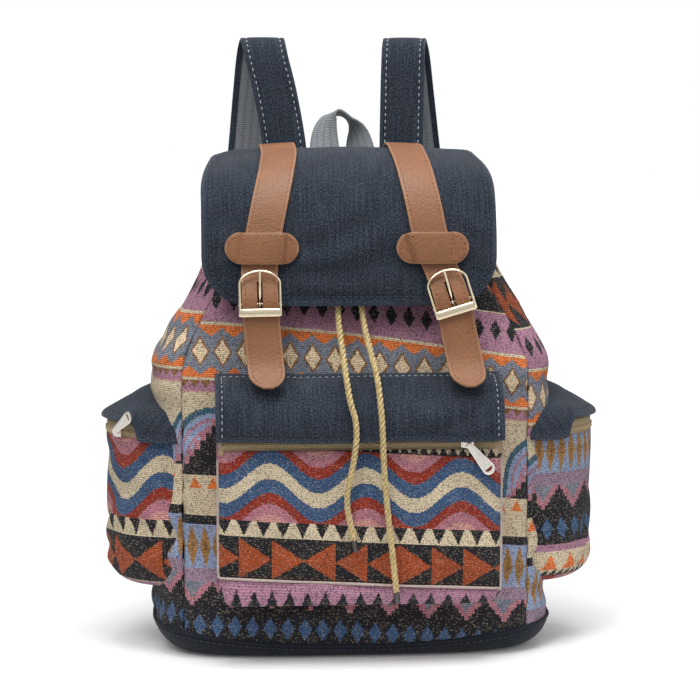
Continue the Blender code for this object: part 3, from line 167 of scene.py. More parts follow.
SIDE_ROOF_TOP = 0.206
SIDE_ROOF_OVERHANG = 0.004
SHOULDER_WIDTH = 0.0355
SHOULDER_THICKNESS = 0.0040
LINING_THICKNESS = 0.0014
LINING_GAP = 0.0006
WEBBING_WIDTH = 0.025
WEBBING_THICKNESS = 0.0016
HANDLE_THICKNESS = 0.0022
ADJUSTER_HEIGHT = 0.028
ADJUSTER_THICKNESS = 0.0045
ADJUSTER_RAIL = 0.0035
LOWER_WEBBING_END = 0.032
STRAP_LEFT = ((-0.057, 0.386), (-0.066, 0.350), (-0.0725, 0.316), (-0.0742, 0.280), (-0.069, 0.2135))
STRAP_RIGHT = ((0.042, 0.386), (0.049, 0.350), (0.0560, 0.316), (0.0690, 0.280), (0.082, 0.2155))
CORD_ROUTE_LEFT = (
    (-0.0160, -0.0700, 0.3340), (-0.0158, -0.0752, 0.3320), (-0.0155, -0.0770, 0.3220),
    (-0.0152, -0.0775, 0.3050), (-0.0150, -0.0782, 0.2860), (-0.0148, -0.0825, 0.2610),
    (-0.0125, -0.0965, 0.2380), (-0.0110, -0.1080, 0.2220), (-0.0080, -0.1164, 0.2020),
    (-0.0040, -0.1185, 0.1850), (-0.0060, -0.1182, 0.1600), (-0.0110, -0.1176, 0.1350),
    (-0.0095, -0.1174, 0.1180), (-0.0060, -0.1172, 0.1000),
)
CORD_ROUTE_RIGHT = (
    (0.0040, -0.0700, 0.3340), (0.0038, -0.0752, 0.3320), (0.0034, -0.0770, 0.3220),
    (0.0026, -0.0775, 0.3050), (0.0018, -0.0782, 0.2860), (0.0040, -0.0825, 0.2610),
    (0.0085, -0.0965, 0.2380), (0.0120, -0.1080, 0.2220), (0.0140, -0.1164, 0.2020),
    (0.0152, -0.1185, 0.1850), (0.0168, -0.1180, 0.1500), (0.0200, -0.1176, 0.1150),
    (0.0235, -0.1168, 0.0850), (0.0262, -0.1154, 0.0600),
)
SHOULDER_LEFT = (
    (-0.047, 0.0000, 0.353), (-0.048, 0.0006, 0.388), (-0.055, 0.0040, 0.431), (-0.0625, 0.0105, 0.463),
    (-0.065, 0.0225, 0.4745), (-0.068, 0.0370, 0.462), (-0.071, 0.0480, 0.430), (-0.076, 0.0600, 0.375),
    (-0.086, 0.0690, 0.300), (-0.096, 0.0630, 0.220), (-0.103, 0.0480, 0.150), (-0.106, 0.0350, 0.115),
)
SHOULDER_RIGHT = (
    (0.047, 0.0000, 0.353), (0.047, 0.0006, 0.388), (0.048, 0.0040, 0.431), (0.0495, 0.0105, 0.463),
    (0.052, 0.0225, 0.4745), (0.057, 0.0370, 0.462), (0.062, 0.0480, 0.430), (0.070, 0.0600, 0.375),
    (0.083, 0.0690, 0.300), (0.095, 0.0630, 0.220), (0.103, 0.0480, 0.150), (0.106, 0.0350, 0.115),
)
HANDLE_ROUTE = (
    ((-0.0142, 0.0000, 0.352), (1.0, 0.0, 0.0)),
    ((-0.0150, 0.0020, 0.377), (0.95, -0.2, 0.0)),
    ((-0.0150, 0.0110, 0.401), (0.75, -0.6, 0.2)),
    ((-0.0090, 0.0150, 0.4155), (0.45, -0.85, 0.25)),
    ((0.0010, 0.0160, 0.4155), (0.2, -0.95, 0.0)),
    ((0.0100, 0.0150, 0.405), (0.45, -0.85, -0.3)),
    ((0.0145, 0.0070, 0.380), (0.9, -0.4, -0.1)),
    ((0.0142, 0.0000, 0.352), (1.0, 0.0, 0.0)),
)
print("cloth", FABRIC * 1000, "mm, leather", LEATHER * 1000, "mm, cord", CORD_DIAMETER * 1000, "mm")

# %% [markdown]
# Surface formulas. A cloth surface is a function that gives a point for a place across and down the
# cloth, so the same function makes the mesh, seats the stitches on it and measures the seams.

# %% Paths and the body's plan
def smooth_path(points, count=None, step=None):
    """Points read evenly along a smooth curve through the given ones."""
    knots = np.array(points, float)
    padded = np.vstack([2 * knots[0] - knots[1], knots, 2 * knots[-1] - knots[-2]])
    fine = []
    for i in range(len(knots) - 1):
        a, b, c, d = padded[i:i + 4]
        for t in np.linspace(0, 1, 24, endpoint=False):
            fine.append(0.5 * (2 * b + (c - a) * t + (2 * a - 5 * b + 4 * c - d) * t * t
                               + (3 * b - a - 3 * c + d) * t ** 3))
    fine.append(knots[-1])
    fine = np.array(fine)
    run = run_of(fine)
    if count is None:
        count = max(2, round(run[-1] / step) + 1)
    return read_at(fine, np.linspace(0, run[-1], count))


def run_of(points):
    """Distance along a path at each of its points."""
    steps = np.linalg.norm(np.diff(np.array(points, float)[:, :3], axis=0), axis=1)
    return np.concatenate([[0], np.cumsum(steps)])


def read_at(points, places):
    points = np.array(points, float)
    run = run_of(points)
    return np.column_stack([np.interp(places, run, points[:, k]) for k in range(points.shape[1])])


def ease(a, b, t):
    t = min(max(t, 0.0), 1.0)
    return a + (b - a) * t * t * (3 - 2 * t)


def wave(turns):
    return math.sin(2 * math.pi * turns)


def rough(p, scale, seed=0.0):
    """Smooth noise from about -1 to 1 at a point."""
    return noise.noise(Vector((p[0] * scale + seed, p[1] * scale - seed, p[2] * scale + 2 * seed)))


def body_plan(z):
    """(half width, front reach, back reach, squareness) of the body's outside at height z."""
    rise = math.sqrt(max(0.0, 1 - (1 - min(z / BASE_RISE, 1.0)) ** 2))
    draw = (z - SHOULDER_HEIGHT) / (MOUTH_HEIGHT - SHOULDER_HEIGHT)
    width = BASE_HALF_WIDTH + (BODY_HALF_WIDTH - BASE_HALF_WIDTH) * rise
    front = BASE_HALF_DEPTH + (BODY_FRONT - BASE_HALF_DEPTH) * rise
    back = BASE_HALF_DEPTH + (BODY_BACK - BASE_HALF_DEPTH) * rise
    if draw > 0:
        width = ease(BODY_HALF_WIDTH, MOUTH_HALF_WIDTH, draw)
        front = ease(BODY_FRONT, MOUTH_FRONT, draw)
        back = ease(BODY_BACK, MOUTH_BACK, draw)
    return width, front, back, ease(CORNER_POWER, MOUTH_POWER, draw)


def front_y(x, z, out=0.0):
    width, front, _, power = body_plan(z)
    return -front * (1 - min(abs(x) / width, 0.999) ** power) ** (1 / power) - out


def back_y(x, z, out=0.0):
    width, _, back, power = body_plan(z)
    return back * (1 - min(abs(x) / width, 0.999) ** power) ** (1 / power) + out


def side_x(y, z):
    width, front, back, power = body_plan(z)
    reach = front if y < 0 else back
    return width * (1 - min(abs(y) / reach, 0.999) ** power) ** (1 / power)


def plan_point(turn, z, inset=0.0):
    """A point of the body's plan; turn runs from 0 at +X through 0.25 at the front to 1."""
    width, front, back, power = body_plan(z)
    angle = -2 * math.pi * turn
    c, s = math.cos(angle), math.sin(angle)
    reach = front if s < 0 else back
    return (math.copysign(abs(c) ** (2 / power), c) * (width - inset),
            math.copysign(abs(s) ** (2 / power), s) * (reach - inset), z)


def plan_run(start, end, z, inset, count):
    fine = np.array([plan_point(t, z, inset) for t in np.linspace(start, end, 161)])
    return read_at(fine, np.linspace(0, run_of(fine)[-1], count))


def seam_turn(z):
    return math.acos(SEAM_SHARE ** (body_plan(z)[3] / 2)) / (2 * math.pi)


def rim_height(x):
    return BASE_RIM + (BASE_RIM_SIDE - BASE_RIM) * (x / BODY_HALF_WIDTH) ** 2


print("body widths at 0.1 and 0.3 m:", round(body_plan(0.1)[0] * 2, 3), round(body_plan(0.3)[0] * 2, 3))

# %% Flap, strap, pocket and side pocket surfaces
def flap_back():
    return back_y(0, FLAP_SEAM_HEIGHT) + 0.0080


@functools.lru_cache
def flap_line():
    back = flap_back()
    points = ((back, FLAP_SEAM_HEIGHT - 0.012), (back - 0.001, FLAP_SEAM_HEIGHT + 0.012),
              (back - 0.018, FLAP_CREST - 0.009),
              (back - 0.050, FLAP_CREST), (-0.022, FLAP_CREST - 0.002), (-0.056, FLAP_CREST - 0.014),
              (-0.076, FLAP_CREST - 0.036), (-FLAP_FRONT + 0.002, FLAP_CREST - 0.066),
              (-FLAP_FRONT, FLAP_BOTTOM + 0.020), (-FLAP_FRONT - 0.0004, FLAP_BOTTOM))
    return smooth_path([(0.0, *p) for p in points], 121)


def flap_profile(v):
    """(y, z) and outward normal of the flap's middle line; v runs from the seam to the hem."""
    path = flap_line()
    at = v * 120
    k = min(int(at), 119)
    y, z = path[k][1:] * (1 - at + k) + path[k + 1][1:] * (at - k)
    slope = path[min(k + 1, 120)][1:] - path[max(k - 1, 0)][1:]
    normal = np.array([-slope[1], slope[0]])
    return np.array([y, z]), normal / -np.linalg.norm(normal)


def flap_width(v):
    body = ease(FLAP_TOP_HALF_WIDTH, FLAP_HALF_WIDTH, (v - 0.30) / 0.35)
    left = (1 - v) * FLAP_RUN
    if left < FLAP_CORNER:
        body -= FLAP_CORNER * (1 - math.sqrt(max(0.0, 1 - (1 - left / FLAP_CORNER) ** 2)))
    return body


def flap_point(x, v, depth=0.0):
    (y, z), (ny, nz) = flap_profile(v)
    out = min(1.0, abs(x) / FLAP_HALF_WIDTH)
    hung = ease(0.0, 1.0, (v - 0.28) / 0.17)
    drop = 0.010 * (out ** 3 * hung + out ** 9 * (1 - hung))
    return (x, y - ny * (depth + drop), z - nz * (depth + drop))


def strap_station(route, z):
    return float(np.interp(-z, -strap_line(route)[:, 2], strap_line(route)[:, 0]))


@functools.lru_cache
def strap_line(route):
    return smooth_path([(x, 0.0, h) for x, h in route], 80)


def flap_at(x, z):
    """Share down the flap at which its face reaches height z on the front."""
    low, high = 0.45, 1.0
    for _ in range(24):
        middle = (low + high) / 2
        low, high = (middle, high) if flap_point(x, middle)[2] > z else (low, middle)
    return (low + high) / 2


def strap_path(route, count=36):
    points = []
    for v in np.linspace(0.27, 0.905, 16):
        points.append(flap_point(strap_station(route, flap_profile(v)[0][1]), v, -STRAP_LIFT))
    for z, reach in ((0.2800, BUCKLE_FACE), (0.2620, BUCKLE_FACE), (0.2480, BUCKLE_FACE + 0.0010),
                     (0.2300, BUCKLE_FACE + 0.0055), (STRAP_TIP, BUCKLE_FACE + 0.0165)):
        points.append((strap_station(route, z), -reach, z))
    return smooth_path(points, count)


def flap_across(x, z):
    lean = ease(0.0, 0.03 * (x / FLAP_HALF_WIDTH) ** 2 / FLAP_HALF_WIDTH, (z - 0.285) / 0.02)
    lean = math.copysign(lean, x)
    return (-1.0, -lean, 0.0) if z < FLAP_CREST - 0.02 else (-1.0, 0.0, lean)


def pocket_face_y(x, z):
    across = 1 - (abs(x) / POCKET_HALF_WIDTH) ** 4
    span = (ZIP_HEIGHT - z) / (ZIP_HEIGHT - POCKET_BOTTOM)
    return -POCKET_FACE - POCKET_BULGE * max(0.0, across) * math.sin(math.pi * min(max(span, 0), 1)) ** 0.8


def side_reach(radius, z, y_sign, gap):
    low, high = 0.0, math.pi / 2
    for _ in range(30):
        middle = (low + high) / 2
        y = y_sign * radius * math.sin(middle)
        if SIDE_AXIS_X + radius * math.cos(middle) > side_x(y, z) + gap:
            low = middle
        else:
            high = middle
    return low


def side_arc(s, radius, z, count, gap):
    """Points round a side pocket, from the front to the back, ending at the body's side."""
    front, back = side_reach(radius, z, -1, gap), side_reach(radius, z, 1, gap)
    return [(s * (SIDE_AXIS_X + radius * math.cos(a)), radius * math.sin(a), z)
            for a in np.linspace(-front, back, count)]


def frames_along(centres, across_hint, square=True):
    """Side and outward vectors along a path."""
    centres = np.array(centres)
    hints = np.array(across_hint, float)
    if hints.ndim == 1:
        hints = np.tile(hints, (len(centres), 1))
    sides, outs = [], []
    for tangent, hint in zip(np.gradient(centres, axis=0), hints):
        tangent = Vector(tangent).normalized()
        side = Vector(hint)
        if square:
            side -= tangent * side.dot(tangent)
        side.normalize()
        sides.append(side)
        outs.append(side.cross(tangent).normalized())
    return sides, outs


print("flap runs", round(float(run_of(flap_line())[-1]), 4), "m from seam to hem")

# %% [markdown]
# Mesh builders. Cloth could be simulated, but its rest shape here follows a known pattern, so it is a fine
# grid laid on a formula, which gives the same mesh each run. Its measured run across and down is stored as
# UV, in metres, so a woven pattern keeps its true scale on every panel. Straps are a rounded section
# carried along a path, because real webbing and leather have soft edges that catch the light.

# %% Mesh builders
MAT = {}
SLOTS = {"shaded_denim": "denim", "navy_thread": "denim", "dark_thread": "denim", "white_thread": "denim",
         "tan_thread": "leather", "piping": "tape"}


def new_object(name, verts, faces, uvs, finish, body="bag", instead=(), edge=None, smooth=60, slot=None):
    """A smooth mesh with UV in metres and an edge mask, riding on its body in place of its CAD nodes."""
    mesh = bpy.data.meshes.new(name)
    mesh.from_pydata([tuple(float(c) for c in v) for v in verts], [], faces)
    layer = mesh.uv_layers.new(name="UVMap")
    corners = np.zeros(len(mesh.loops), int)
    mesh.loops.foreach_get("vertex_index", corners)
    layer.data.foreach_set("uv", np.array(uvs, float)[corners].ravel())
    mask = mesh.attributes.new("edge", "FLOAT", "POINT")
    mask.data.foreach_set("value", np.zeros(len(verts)) if edge is None else np.array(edge, float))
    mesh.materials.append(MAT[finish])
    mesh.shade_smooth()
    mesh.set_sharp_from_angle(angle=math.radians(smooth))
    obj = bpy.data.objects.new(name, mesh)
    bpy.context.collection.objects.link(obj)
    return settle(obj, slot or SLOTS.get(finish, finish), body, instead)


def settle(obj, slot, body="bag", instead=()):
    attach(obj, body)
    if instead:
        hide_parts(*instead)
    return obj


def cloth(name, grid, finish, instead=(), thick=FABRIC, uv=None, body="bag", edge=None, away=None,
          rounded=0.0, closed=False):
    """A sheet through a grid of points, with thickness laid behind its outer face."""
    rows, columns = len(grid), len(grid[0])
    points = np.array(grid, float).reshape(-1, 3)
    if uv is None:
        uv = grid_uv(grid)
    faces = []
    for i in range(rows - 1):
        for j in range(columns - (0 if closed else 1)):
            k = (j + 1) % columns
            faces.append((i * columns + j, i * columns + k, (i + 1) * columns + k, (i + 1) * columns + j))
    a, b, c = (points[faces[len(faces) // 2][k]] for k in (0, 1, 2))
    outward = np.array(away if away is not None else (a[0], a[1], 0.0))
    if np.dot(np.cross(b - a, c - a), outward) < 0:
        faces = [f[::-1] for f in faces]
    obj = new_object(name, points, faces, np.array(uv).reshape(-1, 2), finish, body, instead,
                     None if edge is None else np.array(edge).ravel())
    if thick:
        solid = obj.modifiers.new("thickness", "SOLIDIFY")
        solid.thickness = thick
        solid.offset = -1.0
        solid.use_even_offset = False
        if rounded:
            bevel = obj.modifiers.new("turned edge", "BEVEL")
            bevel.width = rounded
            bevel.segments = 3
            bevel.limit_method = "ANGLE"
            bevel.angle_limit = math.radians(55)
    return obj


def grid_uv(grid, across_zero=0.5, down_zero=0.0):
    """Runs across and down a grid, in metres; across is 0 at its share across_zero of the row."""
    points = np.array(grid, float)
    across = np.array([run_of(row) for row in points])
    across -= across[:, -1:] * across_zero
    down = np.array([run_of(column) for column in points.transpose(1, 0, 2)]).T + down_zero
    return np.stack([across, down], axis=2)


def rounded_section(width, low, high, corner, dome=0.0, columns=10):
    """Points round a strap's section as (across, out), starting at the middle of its outer face."""
    half = width / 2
    points = [(x, high + dome * (1 - (x / half) ** 2)) for x in np.linspace(0, half - corner, columns)]
    for cx, cy, start in ((half - corner, high - corner, 90), (half - corner, low + corner, 0),
                          (-half + corner, low + corner, -90), (-half + corner, high - corner, -180)):
        turns = [math.radians(start - a) for a in (30, 60, 90)]
        points += [(cx + corner * math.cos(a), cy + corner * math.sin(a)) for a in turns]
    points += [(x, high + dome * (1 - (x / half) ** 2))
               for x in np.linspace(-half + corner, 0, columns)[1:-1]]
    return points


def tube_faces(rings, around, first=0):
    """Faces between rings of points, from vertex first on, with a face over each end."""
    faces = [(first + k * around + i, first + k * around + (i + 1) % around,
              first + (k + 1) * around + (i + 1) % around, first + (k + 1) * around + i)
             for k in range(rings - 1) for i in range(around)]
    last = first + (rings - 1) * around
    return faces + [tuple(range(first, first + around))[::-1], tuple(range(last, last + around))]


def steady_frames(points):
    """The direction of a path and two more square to it at each point, carried along without a twist."""
    side, frames = None, []
    for t in np.gradient(points, axis=0):
        t = Vector(t).normalized()
        side = (t.orthogonal() if side is None else side - t * side.dot(t)).normalized()
        frames.append((t, side.copy(), t.cross(side)))
    return frames


def outward(obj):
    bm = bmesh.new()
    bm.from_mesh(obj.data)
    bmesh.ops.recalc_face_normals(bm, faces=bm.faces)
    bm.to_mesh(obj.data)
    bm.free()
    return obj


def strap(name, centres, sides, outs, section, finish, instead, scale=None):
    """A section carried along a path; scale narrows it station by station, as at a rounded tip."""
    run = run_of(centres)
    half = max(abs(x) for x, _ in section)
    verts, uvs, edge = [], [], []
    for k, (c, s, o) in enumerate(zip(centres, sides, outs)):
        share = 1.0 if scale is None else scale[k]
        for x, y in section:
            verts.append(Vector(c) + s * x * share + o * y)
            uvs.append((x, run[k]))
            edge.append(max(0.0, (abs(x) / half - 0.90) / 0.10))
    faces = tube_faces(len(centres), len(section))
    return outward(new_object(name, verts, faces, uvs, finish, "bag", instead, edge, smooth=50))


def round_tube(name, path, radius, finish, instead=(), sides=10, lobes=0, pitch=0.01):
    """A tube along a path; with lobes it is a rope whose strands wind round it once a pitch."""
    path = np.array(path, float)
    run = run_of(path)
    verts, uvs = [], []
    for k, (_, side, up) in enumerate(steady_frames(path)):
        for i in range(sides):
            a = 2 * math.pi * i / sides
            r = radius
            if lobes:
                twist = a - 2 * math.pi * run[k] / pitch
                r = radius * (0.745 + 0.255 * abs(math.cos(lobes * twist / 2)) ** 0.75)
            verts.append(Vector(path[k]) + side * r * math.cos(a) + up * r * math.sin(a))
            uvs.append((a * radius, run[k]))
    faces = tube_faces(len(path), sides)
    return outward(new_object(name, verts, faces, uvs, finish, "bag", instead, smooth=70))


THREAD_WANDER = 0.00012


def stitches(name, paths, finish, length=0.0034, gap=0.0016, width=0.0008, slot=None):
    """Rows of short raised threads; each path is points with the surface's outward vector at each."""
    verts, faces, uvs = [], [], []
    for path, normals in paths:
        path, normals = np.array(path, float), np.array([tuple(n) for n in normals], float)
        total = run_of(path)[-1]
        count = max(1, int(total / (length + gap)))
        pitch = total / count
        for k in range(count):
            places = np.linspace(k * pitch + gap / 2, k * pitch + gap / 2 + pitch - gap, 5)
            centres = read_at(path, places)
            outs = read_at(np.hstack([path, normals]), places)[:, 3:]
            along = Vector(centres[-1] - centres[0]).normalized()
            shift = THREAD_WANDER * math.sin(k * 12.9898)
            faces += tube_faces(5, 6, len(verts))
            for m, (c, o) in enumerate(zip(centres, outs)):
                o = Vector(o).normalized()
                side = o.cross(along).normalized()
                swell = (0.25, 0.92, 1.0, 0.92, 0.25)[m]
                lift = (-0.30, 0.16, 0.26, 0.16, -0.30)[m]
                for i in range(6):
                    a = math.pi * i / 3
                    verts.append(Vector(c) + side * (math.cos(a) * swell * width / 2 + shift)
                                 + o * width * (lift + 0.42 * math.sin(a) * swell))
                    uvs.append((i * width / 2, places[m]))
    obj = outward(new_object(name, verts, faces, uvs, finish, smooth=80, slot=slot))
    print(f"{name}: {len(faces) // 26} stitches")
    return obj


print("mesh builders ready")

# %% [markdown]
# Materials are node trees. A picture of each cloth would be quicker, but it would blur close up and repeat,
# so every pattern is worked out from the place on the surface. A small helper adds nodes and joins them.
# Effects that several materials share are node groups with named inputs: denim twill, leather grain,
# ribbed webbing, twisted fibre and handled metal. Each group gives only colours, roughness and heights;
# the Principled shader stays in the material.

# %% Node helpers
class Tree:
    """Adds nodes to a node tree. Inputs are numbers, colours or sockets."""

    def __init__(self, tree):
        self.tree = tree

    def add(self, kind, inputs=(), out=0, **settings):
        node = self.tree.nodes.new(kind)
        for key, value in settings.items():
            setattr(node, key, value)
        pairs = inputs.items() if isinstance(inputs, dict) else enumerate(inputs)
        for key, value in pairs:
            if isinstance(value, bpy.types.NodeSocket):
                self.tree.links.new(value, node.inputs[key])
            elif value is not None:
                node.inputs[key].default_value = value
        return node.outputs[out]

    def math(self, operation, a, b=None):
        return self.add("ShaderNodeMath", (a, b), operation=operation)

    def plus(self, a, b):
        return self.math("ADD", a, b)

    def minus(self, a, b):
        return self.math("SUBTRACT", a, b)

    def times(self, a, b):
        return self.math("MULTIPLY", a, b)

    def over(self, a, b):
        return self.math("DIVIDE", a, b)

    def sine(self, a):
        return self.math("SINE", a)

    def join(self, value, socket):
        self.tree.links.new(value, socket)

    def place(self, x, y):
        return self.add("ShaderNodeCombineXYZ", (x, y))

    def tinted(self, colour, value, saturation=1.0):
        inputs = {"Color": colour, "Value": value, "Saturation": saturation}
        return self.add("ShaderNodeHueSaturation", inputs)

    def mix(self, share, a, b):
        return self.add("ShaderNodeMix", {0: share, 6: shade(a), 7: shade(b)}, out=2, data_type="RGBA")

    def blend(self, share, a, b):
        return self.add("ShaderNodeMix", {0: share, 2: a, 3: b}, data_type="FLOAT")

    def noise(self, vector, scale, detail=2.0, roughness=0.5):
        return self.add("ShaderNodeTexNoise", {"Vector": vector, "Scale": scale, "Detail": detail,
                                               "Roughness": roughness})

    def stretch(self, vector, x, y, z):
        return self.add("ShaderNodeVectorMath", (vector, (x, y, z)), operation="MULTIPLY")

    def split(self, vector):
        node = self.tree.nodes.new("ShaderNodeSeparateXYZ")
        self.tree.links.new(vector, node.inputs[0])
        return node.outputs[0], node.outputs[1]

    def remap(self, value, low, high, to_low=0.0, to_high=1.0):
        return self.add("ShaderNodeMapRange", (value, low, high, to_low, to_high))


def shade(colour):
    return (*colour, 1.0) if isinstance(colour, tuple) and len(colour) == 3 else colour


def new_group(name, inputs, outputs):
    """An empty node group; a vector input has no value, a colour has three and a number has one."""
    tree = bpy.data.node_groups.new(name, "ShaderNodeTree")
    for label, value in inputs.items():
        kind = "Vector" if value is None else "Color" if isinstance(value, tuple) else "Float"
        socket = tree.interface.new_socket(label, in_out="INPUT", socket_type=f"NodeSocket{kind}")
        if value is not None:
            socket.default_value = shade(value)
    for label in outputs:
        kind = "Color" if label == "Color" else "Float"
        tree.interface.new_socket(label, in_out="OUTPUT", socket_type=f"NodeSocket{kind}")
    given = tree.nodes.new("NodeGroupInput")
    result = tree.nodes.new("NodeGroupOutput")
    return Tree(tree), given.outputs, result.inputs


def use(t, group, inputs):
    """Places a group in a tree and returns its outputs by name."""
    node = t.tree.nodes.new("ShaderNodeGroup")
    node.node_tree = group
    for key, value in inputs.items():
        if isinstance(value, bpy.types.NodeSocket):
            t.tree.links.new(value, node.inputs[key])
        else:
            node.inputs[key].default_value = shade(value)
    return node.outputs


def new_material(name, roughness=0.5, metallic=0.0, **constant):
    mat = bpy.data.materials.new(name)
    mat.use_nodes = True
    shader = mat.node_tree.nodes["Principled BSDF"]
    shader.inputs["Roughness"].default_value = roughness
    shader.inputs["Metallic"].default_value = metallic
    for key, value in constant.items():
        shader.inputs[key.replace("_", " ")].default_value = value
    return mat, Tree(mat.node_tree), shader


def finish_material(t, shader, colour, height, strength, distance, roughness=None):
    t.join(colour, shader.inputs["Base Color"])
    if roughness is not None:
        t.join(roughness, shader.inputs["Roughness"])
    normal = t.add("ShaderNodeBump", {"Height": height, "Strength": strength, "Distance": distance})
    t.join(normal, shader.inputs["Normal"])


print("node helpers ready")

# %% [markdown]
# The jacquard. On a loom, a few colours of weft are brought to the face where the design wants them, so
# the design is a stack of flat bands: teeth, waves, diamonds, zigzags, arches. It could be painted, but
# sums on the place across and down the cloth, in millimetres, stay sharp at any size. The place is first
# rounded to the size of one warp lift, which gives the stepped edges of real weaving. Single threads of
# the other colours show through as flecks, one random draw for each crossing of warp and weft.

# %% The woven design
BLACK = (0.010, 0.010, 0.012)
CREAM = (0.66, 0.56, 0.40)
RED = (0.30, 0.050, 0.034)
BLUE = (0.055, 0.105, 0.20)
PINK = (0.46, 0.205, 0.245)
SALMON = (0.60, 0.31, 0.28)
RUST = (0.36, 0.088, 0.040)
ORANGE = (0.78, 0.235, 0.095)
MAUVE = (0.43, 0.225, 0.31)
SLATE = (0.20, 0.225, 0.275)
BROWN = (0.25, 0.125, 0.055)
SKY = (0.29, 0.36, 0.52)
TEAL = (0.050, 0.12, 0.17)
GOLD = (0.36, 0.20, 0.075)
STRAW = (0.80, 0.64, 0.44)
WARP_PITCH = 0.80
WEFT_PITCH = 0.72
RIB_PITCH = 1.40


def weave_design():
    t, given, result = new_group("jacquard_design", {"Across": 0.0, "Down": 0.0}, ("Color", "Height"))
    across, down = given["Across"], given["Down"]
    wobble = t.noise(t.place(across, down), 0.9, 1.0)
    u = t.times(t.math("ROUND", t.over(across, 0.85)), 0.85)

    def cell(period, shift=0.0):
        """Signed distance across from the middle of a repeat."""
        wrapped = t.math("FLOORED_MODULO", t.plus(u, period / 2 - shift), period)
        return t.minus(wrapped, period / 2)

    def far(value, middle=0.0):
        return t.math("ABSOLUTE", t.minus(value, middle))

    def less(a, b):
        return t.math("LESS_THAN", a, b)

    def diamond(y, period, wide, tall, middle):
        """1 at a diamond's edge and 0 at its middle."""
        return t.plus(t.over(far(cell(period)), wide / 2), t.over(far(y, middle), tall / 2))

    def point(period, y, top, slope):
        """1 inside a row of points that start at height top and widen by slope."""
        return less(far(cell(period)), t.times(t.minus(y, top), slope))

    def teeth(y):
        rise = t.minus(7.0, t.times(far(cell(7.3)), 2.1))
        return t.mix(less(y, rise), BLACK, CREAM)

    def waves(y):
        turn = t.times(t.minus(u, 4.0), 2 * math.pi / 72)
        off = far(t.minus(y, t.times(t.math("COSINE", turn), -12.0)), 32.0)
        colour = t.mix(less(off, 37.0), SALMON, PINK)
        colour = t.mix(less(off, 28.0), colour, RED)
        colour = t.mix(less(off, 18.5), colour, BLUE)
        return t.mix(less(off, 6.4), colour, CREAM)

    def spikes(y):
        height = t.minus(13.0, t.times(far(cell(14.6)), 2.45))
        return t.mix(less(y, height), CREAM, BLACK)

    def bows(y):
        moved = t.plus(u, 43.0)
        place = t.over(t.math("FLOORED_MODULO", moved, 24.0), 24.0)
        side = less(t.math("FLOORED_MODULO", moved, 144.0), 72.0)
        half = t.blend(side, t.minus(1.0, place), place)
        return t.mix(less(t.over(far(y, 18.5), 17.5), half), BLACK, RUST)

    def small_diamonds(y):
        colour = t.mix(less(diamond(y, 13.3, 9.0, 16.5, 14.5), 1.0), MAUVE, BLACK)
        return t.mix(less(y, 1.6), colour, CREAM)

    def zigzag(y):
        off = t.plus(t.times(far(cell(17.0)), 0.75), far(y, 21.5))
        colour = t.mix(less(off, 17.5), ORANGE, SLATE)
        shape = diamond(y, 17.0, 12.5, 19.5, 21.5)
        colour = t.mix(less(shape, 1.22), colour, BROWN)
        colour = t.mix(less(shape, 0.92), colour, STRAW)
        return t.mix(less(y, 1.8), colour, CREAM)

    def braid(y):
        tooth = t.plus(t.times(far(cell(8.5)), 1.3), 2.5)
        colour = t.mix(less(y, tooth), MAUVE, BROWN)
        colour = t.mix(less(y, 10.0), SALMON, colour)
        colour = t.mix(less(y, 12.0), CREAM, colour)
        return t.mix(less(y, 2.0), colour, CREAM)

    def arches(y):
        x = far(cell(85.0, -20.0))
        fall = t.times(t.minus(60.0, y), 0.72)
        ring = t.plus(t.math("POWER", x, 2.4), t.math("POWER", t.math("ABSOLUTE", fall), 2.4))
        ring = t.math("POWER", ring, 1 / 2.4)
        stripe = less(t.math("FLOORED_MODULO", ring, 5.0), 1.5)
        colour = t.mix(less(ring, 38.0), CREAM, TEAL)
        colour = t.mix(less(ring, 34.5), colour, t.mix(stripe, SKY, PINK))
        colour = t.mix(less(ring, 22.0), colour, PINK)
        step = t.plus(t.math("ROUND", t.over(x, 4.2)), t.math("ROUND", t.over(fall, 4.2)))
        colour = t.mix(less(step, 8.4), colour, PINK)
        return t.mix(less(step, 7.4), colour, BLACK)

    def plain(y):
        colour = t.mix(point(13.7, y, 1.0, 0.52), CREAM, ORANGE)
        return t.mix(less(y, 9.6), CREAM, colour)

    def line(y):
        return t.mix(less(y, 6.2), SKY, BLACK)

    def tall_diamonds(y):
        shape = diamond(y, 9.7, 8.4, 34.0, 17.0)
        colour = t.mix(less(shape, 1.0), SKY, GOLD)
        return t.mix(less(shape, 0.34), colour, BROWN)

    def peaks(y):
        step = t.math("ROUND", t.over(far(cell(30.0, 9.0)), 2.4))
        top = t.plus(t.times(step, 2.9), 11.0)
        colour = t.mix(less(y, t.minus(top, 7.0)), PINK, SLATE)
        colour = t.mix(less(y, 11.0), colour, t.mix(0.5, SLATE, MAUVE))
        return t.mix(less(y, top), BLACK, colour)

    def blue_diamonds(y):
        return t.mix(less(diamond(y, 13.4, 10.5, 18.0, 12.0), 1.0), BLACK, BLUE)

    def border(y):
        colour = t.mix(point(19.0, y, 8.5, 0.55), CREAM, ORANGE)
        return t.mix(less(y, 6.0), colour, MAUVE)

    bands = ((teeth, 7), (waves, 64), (spikes, 14), (bows, 37), (small_diamonds, 32), (zigzag, 41),
             (braid, 15), (arches, 60), (plain, 31), (line, 7), (tall_diamonds, 34), (peaks, 32),
             (blue_diamonds, 24), (border, 21))
    repeat = sum(height for _, height in bands)
    v = t.plus(down, t.times(t.minus(wobble, 0.5), 0.8))
    v = t.math("FLOORED_MODULO", t.times(t.math("ROUND", t.over(v, 1.15)), 1.15), float(repeat))
    colour, start = None, 0.0
    for maker, height in bands:
        band = maker(t.minus(v, start))
        above = t.math("GREATER_THAN", v, start - 0.01)
        colour = band if colour is None else t.mix(above, colour, band)
        start += height

